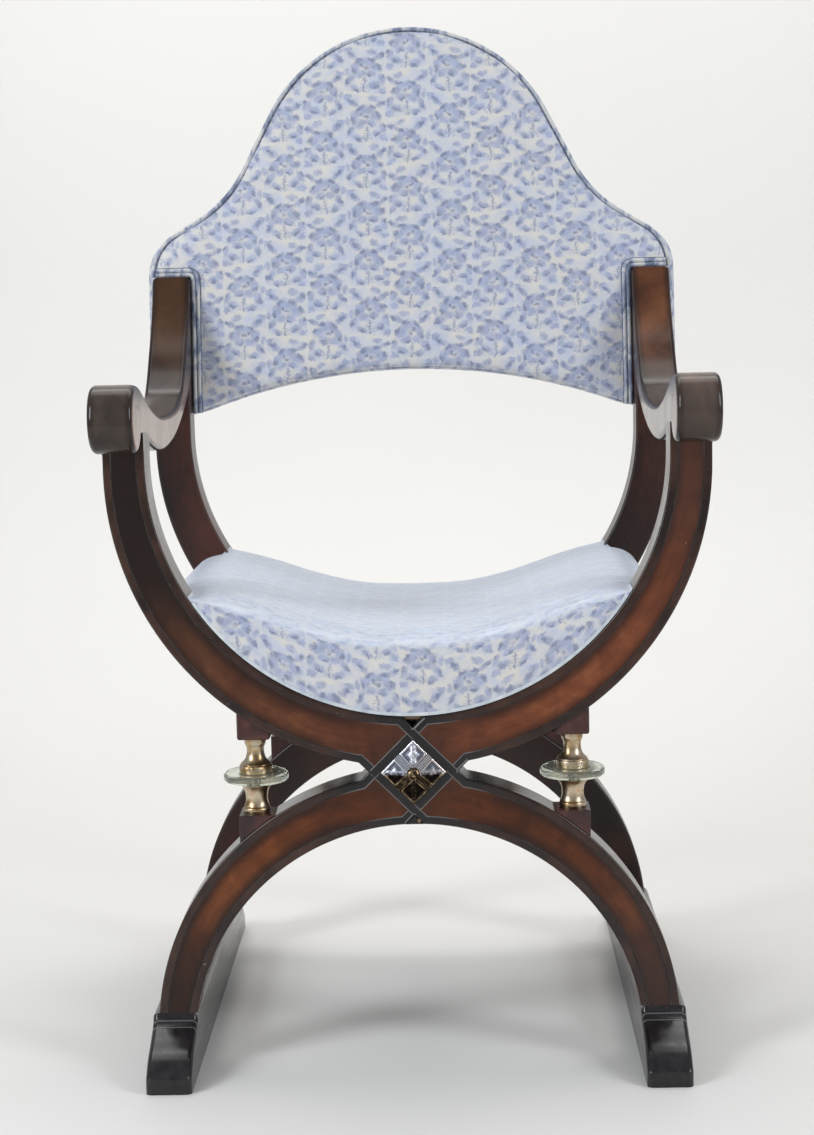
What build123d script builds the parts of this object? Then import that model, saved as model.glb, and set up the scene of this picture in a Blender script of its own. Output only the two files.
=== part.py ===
from build123d import *

import os
from math import asin, cos, degrees, radians, sin, sqrt

# Scissor-frame armchair of the Savonarola kind.
# Millimetres.  +Z is up, -Y is the front, and left is -X.  The origin is on the
# floor, in the middle of the chair.

# ---------------------------------------------------------------- X-frames
bowl_radius = 307.0  # outer edge of the upper U, half of the chair's width
arm_end_width = 41.0  # width of a member at the top of the U
bowl_centre_rise = 4.0  # the inner circle sits this much higher
arch_radius = 271.0  # outer edge of the lower arch
arch_centre_height = 39.0
leg_width = 39.0
arch_centre_drop = 15.0  # the inner circle sits this much lower
crossing_half = 46.0  # half of the crossing's diagonal
crossing_foot = 11.0  # wood between the crossing and the top of the arch
crossing_neck = 7.0  # notch between the crossing and the bottom of the bowl
member_depth = 47.0
frame_gap = 364.0  # clear space between the two X-frames

# ---------------------------------------------------------------- runners
runner_height = 62.0
runner_width = 42.0
runner_overhang = 5.5  # beyond the leg's outer edge
toe_reach = 72.0  # beyond each X-frame
toe_lip = 19.0
toe_ledge = 3.0  # flat left in front of the leg before the cove
toe_cove_reach = 30.0  # a point on the cove, in front of the leg
toe_cove_rise = 9.0  # above the lip
runner_edge = 1.5
tenon_width = 26.0
tenon_depth = 30.0
tenon_length = 34.0

# ---------------------------------------------------------------- arms
arm_width = 45.0
scroll_radius = 34.0
scroll_reach = 44.0  # scroll's centre, in front of the front frame
scroll_rise = 10.0  # scroll's centre, above the elbow
scroll_root_angle = 32.0  # where the scroll runs into the arm's underside
elbow_rise = 44.0  # lowest point of the arm's top, above the bowl's centre
elbow_setback = 190.0
elbow_thickness = 36.0
upright_thickness = 32.0
upright_top = 160.0  # along the back's slope, from the back's foot
upright_flat = 62.0  # length of the flat that meets the back board
# Points on the arm's top, above the elbow: behind the front face, or ahead of the rear face.
arm_top_from_front = [(54.0, 20.0)]
arm_top_from_rear = [(158.0, 5.0), (94.0, 36.0), (42.0, 92.0)]
# Points on the underside, above its lowest level, counted in the same way.
arm_under_from_front = [(200.0, 1.0), (85.0, 10.0)]
arm_under_from_rear = [(106.0, 31.0)]
heel_curve_reach = 33.0  # a point on the underside, ahead of the upright's heel
heel_curve_rise = 76.0
front_joint_rise = 25.0  # joint over the front member, above the underside's lowest level
rear_joint_rise = 76.0
arm_block_length = 37.0
arm_block_drop = 19.0
arm_block_slope = 5.0
arm_block_rise = 15.0
arm_block_inset = 2.0

# ---------------------------------------------------------------- spindles
spindle_offset = 163.5  # from the middle of the chair
block_width = 34.0
block_inset = 3.0
upper_block_height = 12.2  # least height, at its inner side
lower_block_lap = 1.0  # the lower block's top, under the arch at its inner side
block_edge = 3.0
disc_radius = 33.5
disc_thickness = 9.0
disc_bevel = 2.2
disc_lift = 1.0  # the disc sits this much above the middle of the spindle
bell_radius = 16.3
bell_neck_radius = 8.0
bell_flange_radius = 10.5
bell_flange = 5.5
bell_flange_slope = 3.0
bell_collar = 8.0
bell_hollow = 3.0  # how far the flare stands out from the neck halfway down
cup_radius = 18.0
cup_neck_radius = 10.6
cup_foot_radius = 11.6
cup_foot = 6.0
cup_foot_slope = 2.0
cup_waist_radius = 9.6
cup_neck_height = 22.0  # above the lower block
cup_lip = 2.0
rod_diameter = 6.0
rod_grip_above = 12.0
rod_grip_below = 34.0

# ---------------------------------------------------------------- crossing
rosette_margin = 12.0  # between the rosette's corners and the crossing's
rosette_base = 2.5
rosette_height = 11.0
rosette_crown = 5.0  # half of the small flat under the boss
rosette_step = 1.0  # the pyramid stands this far inside the base
boss_radius = 7.0
boss_height = 6.0
boss_rim = 1.0
boss_shoulder_radius = 5.0
boss_shoulder_height = 4.5
boss_stem_radius = 2.0
boss_stem = 3.0
pin_diameter = 3.4
pin_length = 14.0
pin_offset = 4.5
pin_rise = 6.0  # above the top of the arch
pin_head = 0.8  # stands proud of the frame
stretcher_side = 34.0
bolt_diameter = 8.0
bolt_head_diameter = 16.0
bolt_head = 5.0
bolt_grip = 55.0  # length inside the stretcher
bolt_end_room = 1.0
bolt_head_room = 0.5
bolt_head_side_room = 1.0
cap_diameter = 28.0
cap_height = 9.0

# ---------------------------------------------------------------- seat
seat_board_thickness = 10.0
seat_board_spread = 52.0  # degrees each side of the bowl's bottom
seat_board_inset = 8.0
seat_middle_rise = 86.0  # seat's middle, above the bottom of the bowl
seat_crest_rise = 137.0
seat_crest_offset = 196.0
seat_end_rise = 128.0
seat_roll = 14.0
seat_roll_drop = 8.4
seat_flank_offset = 110.0  # a point between the middle and the crest
seat_flank_dip = 4.0  # below the mean of the two heights
gimp_width = 3.6
gimp_thickness = 1.6
gimp_stop_angle = 1.0  # the gimp ends this much before the seat's ends
dust_cover_thickness = 1.0
dust_cover_margin = 1.0
dust_cover_stop_angle = 2.0
seat_screw_angle = 25.0
seat_screw_diameter = 5.0
seat_screw_head = 10.0
seat_screw_head_thickness = 3.0
seat_screw_recess = 8.0
seat_screw_bite = 7.0

# ---------------------------------------------------------------- back
back_lean = 8.0
back_foot_drop = 12.0  # under the elbow's level
back_overhang = 4.0  # beyond the frame on each side
back_gap = 1.5  # behind the rear frame, at the back's foot
dome_end_angle = 27.0  # slope of the flank below the dome, from upright
flank_length = 72.0
hollow_radius = 150.0
shoulder_slope = 31.0
shoulder_length = 33.4
shoulder_radius = 55.0
side_above_notch = 4.4
back_arch_rise = 49.0
back_foot_width = 53.0
back_board_thickness = 18.0
back_cover_thickness = 3.0
back_pad_thickness = 20.0
piping_diameter = 6.0
welt_diameter = 5.0
welt_turn = 3.0
back_screw_diameter = 5.0
back_screw_head = 10.0
back_screw_head_thickness = 3.0
back_screw_recess = 4.0
back_screw_bite = 18.0
back_screw_drop = 18.0  # upper screw, under the upright's top
back_screw_pitch = 30.0

# ---------------------------------------------------------------- joints and fits
dowel_diameter = 12.0
dowel_half = 29.0
glue_gap = 0.1
pin_clearance = 0.1
cloth_gap = 0.3
notch_room_above = 2.0  # between an upright and the pad over it
notch_room_beside = 1.0

# ---------------------------------------------------------------- worked out
bowl_inner_radius = bowl_radius - arm_end_width
arch_inner_radius = arch_radius - leg_width
arch_inner_centre_height = arch_centre_height - arch_centre_drop
arch_inner_top = arch_inner_centre_height + arch_inner_radius
crossing_height = arch_inner_top + crossing_foot + crossing_half
bowl_bottom = crossing_height + crossing_half + crossing_neck
bowl_inner_centre = bowl_bottom + bowl_inner_radius
bowl_centre_height = bowl_inner_centre - bowl_centre_rise
elbow_height = bowl_centre_height + elbow_rise
scroll_centre_height = elbow_height + scroll_rise
back_foot_height = elbow_height - back_foot_drop
frame_depth = 2 * member_depth + frame_gap
lean = radians(back_lean)

back_half_width = bowl_radius + back_overhang
back_arch_half = back_half_width - back_foot_width
notch_height = upright_top + notch_room_above
dome_turn = 90 - dome_end_angle
hollow_turn = dome_turn - shoulder_slope
shoulder_turn = 90 - shoulder_slope
flank_angle = radians(dome_turn)
slope_angle = radians(shoulder_slope)
crown_side_run = (
    shoulder_radius * (1 - sin(slope_angle))
    + shoulder_length * cos(slope_angle)
    + hollow_radius * (sin(flank_angle) - sin(slope_angle))
    + flank_length * cos(flank_angle)
)
dome_radius = (back_half_width - crown_side_run) / sin(flank_angle)
crown_drop = (
    shoulder_radius * cos(slope_angle)
    + shoulder_length * sin(slope_angle)
    + hollow_radius * (cos(slope_angle) - cos(flank_angle))
    + flank_length * sin(flank_angle)
    + dome_radius * (1 - cos(flank_angle))
)
back_height = notch_height + side_above_notch + crown_drop
back_rise = back_height * sin(lean)
back_rear_thickness = back_board_thickness + back_cover_thickness
back_reach = back_gap + back_rise + back_rear_thickness * cos(lean)
front_reach = max(toe_reach, scroll_reach + scroll_radius)
rear_reach = max(toe_reach, back_reach)
overall_depth = front_reach + frame_depth + rear_reach

front_y = front_reach - overall_depth / 2  # front face of the front frame
rear_y = front_y + frame_depth - member_depth  # front face of the rear frame
frame_end = front_y + frame_depth
front_middle = front_y + member_depth / 2
rear_middle = rear_y + member_depth / 2
runner_end = frame_end + toe_reach
arm_middle_x = bowl_radius - arm_end_width / 2
runner_outer_x = arch_radius + runner_overhang
runner_middle_x = runner_outer_x - runner_width / 2
sides = {"left": -1, "right": 1}
frames = {"front": front_y, "rear": rear_y}

back_plane = Plane(
    origin=(0, frame_end + back_gap, back_foot_height),
    x_dir=(1, 0, 0),
    z_dir=(0, -cos(lean), sin(lean)),
)

os.makedirs("parts", exist_ok=True)


def save(piece, name):
    """Label a finished piece and write it under its own name."""
    piece.part.label = name
    export_step(piece.part, f"parts/{name}.step")


def on_slope(along, proud=0.0):
    """Y and Z of a point on the back's slope, and proud of it towards the front."""
    y = frame_end + back_gap + along * sin(lean) - proud * cos(lean)
    z = back_foot_height + along * cos(lean) + proud * sin(lean)
    return y, z


def circle_point(centre_height, radius, angle):
    """X and Z of a point on a circle centred over the middle of the chair."""
    return radius * cos(radians(angle)), centre_height + radius * sin(radians(angle))


def cut_by_slope(line_height, centre_height, radius, inner):
    """Where the 45 degree line that falls to the right cuts a circle."""
    rise = line_height - centre_height
    root = sqrt(2 * radius**2 - rise**2)
    x = (rise + root) / 2 if inner else (rise - root) / 2
    return x, line_height - x


# Heights of the spindle's pieces between the bowl and the arch.
block_inner_x = spindle_offset - block_width / 2
upper_block_bottom = (
    bowl_centre_height - sqrt(bowl_radius**2 - block_inner_x**2) - upper_block_height
)
lower_block_top = (
    arch_centre_height + sqrt(arch_radius**2 - block_inner_x**2) - lower_block_lap
)
disc_centre_height = (upper_block_bottom + lower_block_top) / 2 + disc_lift
disc_top = disc_centre_height + disc_thickness / 2
disc_bottom = disc_centre_height - disc_thickness / 2

# ---------------------------------------------------------------- scissor members
# A member runs from one arm, round the bowl, across the middle at 45 degrees and
# down the far leg.  The pair is half-lapped: the left member keeps the front half.
upper_line = crossing_height + crossing_half
lower_line = crossing_height - crossing_half
blank_top = on_slope(upright_top)[1]


def angle_on(point, centre_height, radius):
    """Angle of a point on a circle, measured from +X, in degrees."""
    angle = degrees(asin((point[1] - centre_height) / radius))
    return angle if point[0] >= 0 else 180 - angle


def draw_member():
    """Outline of the member that rises on the left, in X and Z."""
    top_turn = cut_by_slope(upper_line, bowl_inner_centre, bowl_inner_radius, True)
    arch_turn = cut_by_slope(upper_line, arch_centre_height, arch_radius, False)
    bowl_turn = cut_by_slope(lower_line, bowl_centre_height, bowl_radius, True)
    arch_top = (0, arch_inner_top)
    leg_outer = (sqrt(arch_radius**2 - (runner_height - arch_centre_height) ** 2), runner_height)
    leg_drop = runner_height - arch_inner_centre_height
    leg_inner = (sqrt(arch_inner_radius**2 - leg_drop**2), runner_height)

    bowl_in_mid = (180 + angle_on(top_turn, bowl_inner_centre, bowl_inner_radius)) / 2
    bowl_out_mid = (180 + angle_on(bowl_turn, bowl_centre_height, bowl_radius)) / 2
    arch_start = angle_on(arch_turn, arch_centre_height, arch_radius)
    arch_end = angle_on(leg_outer, arch_centre_height, arch_radius)
    arch_out_mid = (arch_start + arch_end) / 2
    arch_in_mid = (90 + angle_on(leg_inner, arch_inner_centre_height, arch_inner_radius)) / 2

    arm_inner = (-bowl_inner_radius, bowl_inner_centre)
    arm_outer = (-bowl_radius, bowl_centre_height)
    Line((-bowl_inner_radius, blank_top), arm_inner)
    ThreePointArc(
        arm_inner, circle_point(bowl_inner_centre, bowl_inner_radius, bowl_in_mid), top_turn
    )
    Line(top_turn, arch_turn)
    ThreePointArc(
        arch_turn, circle_point(arch_centre_height, arch_radius, arch_out_mid), leg_outer
    )
    Line(leg_outer, leg_inner)
    ThreePointArc(
        leg_inner,
        circle_point(arch_inner_centre_height, arch_inner_radius, arch_in_mid),
        arch_top,
    )
    Line(arch_top, (0, lower_line))
    Line((0, lower_line), bowl_turn)
    ThreePointArc(bowl_turn, circle_point(bowl_centre_height, bowl_radius, bowl_out_mid), arm_outer)
    Line(arm_outer, (-bowl_radius, blank_top))
    Line((-bowl_radius, blank_top), (-bowl_inner_radius, blank_top))


back_screw_heights = (
    upright_top - back_screw_drop,
    upright_top - back_screw_drop - back_screw_pitch,
)
upright_rear = on_slope(upright_top, cloth_gap)
upright_heel = on_slope(upright_top - upright_flat, cloth_gap)
scroll_root = (
    front_y - scroll_reach + scroll_radius * cos(radians(scroll_root_angle)),
    scroll_centre_height - scroll_radius * sin(radians(scroll_root_angle)),
)
underside_height = elbow_height - elbow_thickness


def draw_underside():
    """The arm's underside, from the upright's heel forward to the scroll, in Y and Z."""
    Spline(
        upright_heel,
        (upright_heel[0] - heel_curve_reach, underside_height + heel_curve_rise),
        *[(frame_end - ahead, underside_height + rise) for ahead, rise in arm_under_from_rear],
        *[(front_y + behind, underside_height + rise) for behind, rise in arm_under_from_front],
        scroll_root,
        tangents=[(-sin(lean), -cos(lean)), (-1, 0.1)],
    )


def draw_arm():
    """Side outline of an arm: scroll, elbow rest and upright in one piece."""
    upright_front = on_slope(upright_top, cloth_gap + upright_thickness)
    scroll_top = (front_y - scroll_reach, scroll_centre_height + scroll_radius)
    scroll_front = (front_y - scroll_reach - scroll_radius, scroll_centre_height)
    Spline(
        scroll_top,
        *[(front_y + behind, elbow_height + rise) for behind, rise in arm_top_from_front],
        (front_y + elbow_setback, elbow_height),
        *[(frame_end - ahead, elbow_height + rise) for ahead, rise in arm_top_from_rear],
        upright_front,
        tangents=[(1, 0), (0.25, 0.97)],
    )
    Line(upright_front, upright_rear)
    Line(upright_rear, upright_heel)
    draw_underside()
    ThreePointArc(scroll_root, scroll_front, scroll_top)


def draw_above_arm():
    """Everything over the arm's underside, to trim what stands under the arm."""
    draw_underside()
    Polyline(
        upright_heel,
        (upright_heel[0], blank_top + 1),
        (scroll_root[0], blank_top + 1),
        scroll_root,
    )


def scissor_member(name, hand, face_y, keeps_front):
    """One S-shaped member with its half lap, tenon and holes; hand -1 rises on the left."""
    middle_y = face_y + member_depth / 2
    with BuildPart() as member:
        with BuildSketch(Plane.XZ.offset(-face_y - member_depth)):
            with BuildLine():
                draw_member()
            make_face()
        extrude(amount=member_depth)
        with Locations((runner_middle_x, middle_y, runner_height - tenon_length / 2)):
            Box(tenon_width, tenon_depth, tenon_length)
        if hand > 0:
            mirror(about=Plane.YZ, mode=Mode.REPLACE)
        lap_y = middle_y if keeps_front else face_y
        with BuildSketch(Plane.XZ.offset(-lap_y - member_depth / 2)):
            with Locations((0, crossing_height)):
                Rectangle(crossing_half * sqrt(2), crossing_half * sqrt(2), rotation=45)
        extrude(amount=member_depth / 2, mode=Mode.SUBTRACT)
        with BuildSketch(Plane.YZ):
            with BuildLine():
                draw_above_arm()
            make_face()
        extrude(amount=2 * bowl_radius, both=True, mode=Mode.SUBTRACT)
        with BuildSketch(Plane.XY.offset(lower_block_top - rod_grip_below)):
            with Locations((spindle_offset, middle_y), (-spindle_offset, middle_y)):
                Circle(rod_diameter / 2 + pin_clearance)
        extrude(amount=rod_grip_below, mode=Mode.SUBTRACT)
        with BuildSketch(Plane.XZ.offset(-face_y - member_depth)):
            with Locations((0, crossing_height)):
                Circle(bolt_diameter / 2 + pin_clearance)
        extrude(amount=member_depth, mode=Mode.SUBTRACT)
        if face_y == front_y:
            with BuildSketch(Plane.XZ.offset(-front_y)):
                with Locations((pin_offset, arch_inner_top + pin_rise)):
                    Circle(pin_diameter / 2 + pin_clearance)
            extrude(amount=-pin_length, mode=Mode.SUBTRACT)
        with BuildSketch(Plane.XY.offset(dowel_foot(middle_y) - pin_clearance)):
            with Locations((hand * arm_middle_x, middle_y)):
                Circle(dowel_diameter / 2 + pin_clearance)
        extrude(amount=2 * dowel_half, mode=Mode.SUBTRACT)
        for screw_plane in seat_screw_planes(middle_y):
            with BuildSketch(screw_plane.offset(-seat_screw_diameter)):
                Circle(seat_screw_diameter / 2 + pin_clearance)
            extrude(amount=2 * bowl_radius - bowl_inner_radius, mode=Mode.SUBTRACT)
            with BuildSketch(screw_plane.offset(-seat_screw_diameter)):
                Circle(seat_screw_head / 2 + pin_clearance)
            extrude(amount=seat_screw_recess + seat_screw_diameter, mode=Mode.SUBTRACT)
    save(member, name)


def dowel_foot(middle_y):
    """Lower end of the dowel between a member and the arm over it."""
    joint_rise = front_joint_rise if middle_y == front_middle else rear_joint_rise
    return underside_height + joint_rise - dowel_half


def seat_screw_planes(middle_y):
    """Planes on the bowl's underside, each facing into the bowl's middle."""
    planes = []
    for hand in (-1, 1):
        angle = radians(seat_screw_angle)
        slide = bowl_centre_rise * cos(angle)
        reach = slide + sqrt(slide**2 + bowl_radius**2 - bowl_centre_rise**2)
        x = hand * reach * sin(angle)
        z = bowl_inner_centre - reach * cos(angle)
        inward = (-hand * sin(angle), 0, cos(angle))
        planes.append(Plane(origin=(x, middle_y, z), x_dir=(0, 1, 0), z_dir=inward))
    return planes


for frame_name, face_y in frames.items():
    for side_name, hand in sides.items():
        scissor_member(f"{frame_name}_scissor_{side_name}", hand, face_y, hand < 0)

# ---------------------------------------------------------------- runners
# Black feet that join the two frames under the legs, with a coved toe at each end.
for side_name, hand in sides.items():
    with BuildPart() as runner:
        with BuildSketch(Plane.YZ.offset(hand * runner_middle_x - runner_width / 2)):
            with BuildLine():
                toe_front = front_y - toe_reach
                ledge = front_y - toe_ledge
                Line((0, 0), (toe_front, 0))
                Line((toe_front, 0), (toe_front, toe_lip))
                Spline(
                    (toe_front, toe_lip),
                    (front_y - toe_cove_reach, toe_lip + toe_cove_rise),
                    (ledge, runner_height),
                    tangents=[(1, 0.06), (0.25, 1)],
                )
                Line((ledge, runner_height), (0, runner_height))
                Line((0, runner_height), (0, 0))
            make_face()
            with BuildLine():
                toe_back = runner_end
                ledge = frame_end + toe_ledge
                Line((0, 0), (toe_back, 0))
                Line((toe_back, 0), (toe_back, toe_lip))
                Spline(
                    (toe_back, toe_lip),
                    (frame_end + toe_cove_reach, toe_lip + toe_cove_rise),
                    (ledge, runner_height),
                    tangents=[(-1, 0.06), (-0.25, 1)],
                )
                Line((ledge, runner_height), (0, runner_height))
                Line((0, runner_height), (0, 0))
            make_face()
        extrude(amount=runner_width)
        chamfer(
            runner.faces().sort_by(Axis.X)[0].edges() + runner.faces().sort_by(Axis.X)[-1].edges(),
            length=runner_edge,
        )
        with Locations(
            (hand * runner_middle_x, front_middle, runner_height - tenon_length / 2),
            (hand * runner_middle_x, rear_middle, runner_height - tenon_length / 2),
        ):
            Box(
                tenon_width + 2 * glue_gap,
                tenon_depth + 2 * glue_gap,
                tenon_length + 2 * glue_gap,
                mode=Mode.SUBTRACT,
            )
    save(runner, f"{side_name}_runner")

# ---------------------------------------------------------------- arms
for side_name, hand in sides.items():
    with BuildPart() as arm:
        with BuildSketch(Plane.YZ.offset(hand * arm_middle_x - arm_width / 2)):
            with BuildLine():
                draw_arm()
            make_face()
        extrude(amount=arm_width)
        for middle_y in (front_middle, rear_middle):
            with BuildSketch(Plane.XY.offset(dowel_foot(middle_y) - pin_clearance)):
                with Locations((hand * arm_middle_x, middle_y)):
                    Circle(dowel_diameter / 2 + pin_clearance)
            extrude(amount=2 * (dowel_half + pin_clearance), mode=Mode.SUBTRACT)
        for along in back_screw_heights:
            with BuildSketch(back_plane):
                with Locations((hand * arm_middle_x, along)):
                    Circle(back_screw_diameter / 2 + pin_clearance)
            extrude(amount=back_screw_bite + pin_clearance, mode=Mode.SUBTRACT)
    save(arm, f"{side_name}_arm")

# Small glue block in the corner behind the front member, under each arm.
for side_name, hand in sides.items():
    with BuildPart() as arm_block:
        block_top = underside_height + front_joint_rise + arm_block_rise
        block_foot = underside_height + front_joint_rise - arm_block_drop
        block_y = front_y + member_depth
        block_width_under_arm = arm_end_width - 2 * arm_block_inset
        with BuildSketch(Plane.YZ.offset(hand * arm_middle_x - block_width_under_arm / 2)):
            with BuildLine():
                Polyline(
                    (block_y, block_foot),
                    (block_y + arm_block_length, block_foot + arm_block_slope),
                    (block_y + arm_block_length, block_top),
                    (block_y, block_top),
                    close=True,
                )
            make_face()
            with BuildLine():
                draw_above_arm()
            make_face(mode=Mode.SUBTRACT)
        extrude(amount=block_width_under_arm)
    save(arm_block, f"{side_name}_arm_block")

# Dowels between the members and the arms.
with BuildPart() as arm_dowels:
    for middle_y in (front_middle, rear_middle):
        with BuildSketch(Plane.XY.offset(dowel_foot(middle_y))):
            with Locations((arm_middle_x, middle_y), (-arm_middle_x, middle_y)):
                Circle(dowel_diameter / 2)
        extrude(amount=2 * dowel_half)
save(arm_dowels, "arm_dowels")

# ---------------------------------------------------------------- spindles
# Brass bell and cup with a glass disc between them, held by a rod between two
# wood blocks that stand on the arch and hang from the bowl.
bore_radius = rod_diameter / 2 + pin_clearance
block_depth = member_depth - 2 * block_inset

for frame_name, face_y in frames.items():
    middle_y = face_y + member_depth / 2
    for side_name, hand in sides.items():
        place = f"{frame_name}_{side_name}"
        x = hand * spindle_offset
        upright_axis = Axis((x, middle_y, 0), (0, 0, 1))
        turning = Plane(origin=(x, middle_y, 0), x_dir=(1, 0, 0), z_dir=(0, -1, 0))

        with BuildPart() as upper_block:
            with BuildSketch(Plane.XZ.offset(-middle_y - block_depth / 2)):
                with Locations((x, upper_block_bottom)):
                    Rectangle(block_width, 2 * block_width, align=(Align.CENTER, Align.MIN))
                with Locations((0, bowl_centre_height)):
                    Circle(bowl_radius + glue_gap, mode=Mode.SUBTRACT)
            extrude(amount=block_depth)
            chamfer(upper_block.faces().sort_by(Axis.Z)[0].edges(), length=block_edge / 2)
            with BuildSketch(Plane.XY.offset(upper_block_bottom)):
                with Locations((x, middle_y)):
                    Circle(bore_radius)
            extrude(amount=rod_grip_above + pin_clearance, mode=Mode.SUBTRACT)
        save(upper_block, f"{place}_upper_block")

        with BuildPart() as lower_block:
            with BuildSketch(Plane.XZ.offset(-middle_y - block_depth / 2)):
                with Locations((x, lower_block_top)):
                    Rectangle(block_width, 2 * block_width, align=(Align.CENTER, Align.MAX))
                with Locations((0, arch_centre_height)):
                    Circle(arch_radius + glue_gap, mode=Mode.SUBTRACT)
            extrude(amount=block_depth)
            chamfer(lower_block.faces().sort_by(Axis.Z)[-1].edges(), length=block_edge)
            with BuildSketch(Plane.XY.offset(lower_block_top)):
                with Locations((x, middle_y)):
                    Circle(bore_radius)
            extrude(amount=-2 * block_width, mode=Mode.SUBTRACT)
        save(lower_block, f"{place}_lower_block")

        with BuildPart() as bell:
            with BuildSketch(turning):
                with BuildLine():
                    flange = upper_block_bottom - bell_flange
                    neck = flange - bell_flange_slope
                    shoulder = disc_top + bell_collar
                    Line((bore_radius, upper_block_bottom), (bore_radius, disc_top))
                    Line((bore_radius, disc_top), (bell_radius, disc_top))
                    Line((bell_radius, disc_top), (bell_radius, shoulder))
                    Spline(
                        (bell_radius, shoulder),
                        (bell_neck_radius + bell_hollow, (shoulder + neck) / 2),
                        (bell_neck_radius, neck),
                        tangents=[(-1, 0.35), (-0.1, 1)],
                    )
                    Line((bell_neck_radius, neck), (bell_flange_radius, flange))
                    Line((bell_flange_radius, flange), (bell_flange_radius, upper_block_bottom))
                    Line((bell_flange_radius, upper_block_bottom), (bore_radius, upper_block_bottom))
                make_face()
            revolve(axis=upright_axis)
        save(bell, f"{place}_brass_bell")

        with BuildPart() as disc:
            with BuildSketch(turning):
                with BuildLine():
                    Polyline(
                        (bore_radius, disc_bottom),
                        (disc_radius - disc_bevel, disc_bottom),
                        (disc_radius, disc_bottom + disc_bevel),
                        (disc_radius, disc_top - disc_bevel),
                        (disc_radius - disc_bevel, disc_top),
                        (bore_radius, disc_top),
                        close=True,
                    )
                make_face()
            revolve(axis=upright_axis)
        save(disc, f"{place}_glass_disc")

        with BuildPart() as cup:
            with BuildSketch(turning):
                with BuildLine():
                    foot_top = lower_block_top + cup_foot
                    waist = foot_top + cup_foot_slope
                    lip = disc_bottom - cup_lip
                    Line((bore_radius, lower_block_top), (cup_foot_radius, lower_block_top))
                    Line((cup_foot_radius, lower_block_top), (cup_foot_radius, foot_top))
                    Line((cup_foot_radius, foot_top), (cup_waist_radius, waist))
                    Spline(
                        (cup_waist_radius, waist),
                        (cup_neck_radius, lower_block_top + cup_neck_height),
                        (cup_radius, lip),
                        tangents=[(0, 1), (1, 0.5)],
                    )
                    Line((cup_radius, lip), (cup_radius, disc_bottom))
                    Line((cup_radius, disc_bottom), (bore_radius, disc_bottom))
                    Line((bore_radius, disc_bottom), (bore_radius, lower_block_top))
                make_face()
            revolve(axis=upright_axis)
        save(cup, f"{place}_brass_cup")

        with BuildPart() as rod:
            with BuildSketch(Plane.XY.offset(lower_block_top - rod_grip_below)):
                with Locations((x, middle_y)):
                    Circle(rod_diameter / 2)
            extrude(amount=rod_grip_below + upper_block_bottom - lower_block_top + rod_grip_above)
        save(rod, f"{place}_spindle_rod")

# ---------------------------------------------------------------- crossing
# Four-sided ornament over the front crossing, hollow behind for the bolt's head.
rosette_side = (crossing_half - rosette_margin) * sqrt(2)
with BuildPart() as rosette:
    with BuildSketch(Plane.XZ.offset(-front_y)):
        with Locations((0, crossing_height)):
            Rectangle(rosette_side, rosette_side, rotation=45)
    extrude(amount=rosette_base)
    with BuildSketch(Plane.XZ.offset(-front_y + rosette_base)):
        with Locations((0, crossing_height)):
            Rectangle(
                rosette_side - 2 * rosette_step, rosette_side - 2 * rosette_step, rotation=45
            )
    with BuildSketch(Plane.XZ.offset(-front_y + rosette_height)):
        with Locations((0, crossing_height)):
            Rectangle(rosette_crown * 2, rosette_crown * 2, rotation=45)
    loft()
    with BuildSketch(Plane.XZ.offset(-front_y)):
        with Locations((0, crossing_height)):
            Circle(bolt_head_diameter / 2 + bolt_head_side_room)
    extrude(amount=bolt_head + bolt_head_room, mode=Mode.SUBTRACT)
    with BuildSketch(Plane.XZ.offset(-front_y + rosette_height)):
        with Locations((0, crossing_height)):
            Circle(boss_stem_radius + pin_clearance)
    extrude(amount=-boss_stem - pin_clearance, mode=Mode.SUBTRACT)
save(rosette, "front_rosette")

with BuildPart() as boss:
    with BuildSketch(Plane(origin=(0, front_y, crossing_height), x_dir=(1, 0, 0), z_dir=(0, 0, 1))):
        with BuildLine():
            seat_face = -rosette_height
            Line((0, seat_face + boss_stem), (boss_stem_radius, seat_face + boss_stem))
            Line((boss_stem_radius, seat_face + boss_stem), (boss_stem_radius, seat_face))
            Line((boss_stem_radius, seat_face), (boss_radius, seat_face))
            Line((boss_radius, seat_face), (boss_radius, seat_face - boss_rim))
            Spline(
                (boss_radius, seat_face - boss_rim),
                (boss_shoulder_radius, seat_face - boss_shoulder_height),
                (0, seat_face - boss_height),
                tangents=[(0, -1), (-1, 0)],
            )
            Line((0, seat_face - boss_height), (0, seat_face + boss_stem))
        make_face()
    revolve(axis=Axis((0, front_y, crossing_height), (0, 1, 0)))
save(boss, "rosette_boss")

with BuildPart() as pin:
    with BuildSketch(Plane.XZ.offset(-front_y)):
        with Locations((pin_offset, arch_inner_top + pin_rise)):
            Circle(pin_diameter / 2)
    extrude(amount=-pin_length + pin_clearance)
    with BuildSketch(Plane.XZ.offset(-front_y)):
        with Locations((pin_offset, arch_inner_top + pin_rise)):
            Circle(pin_diameter / 2)
    extrude(amount=pin_head)
save(pin, "crossing_pin")

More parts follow.
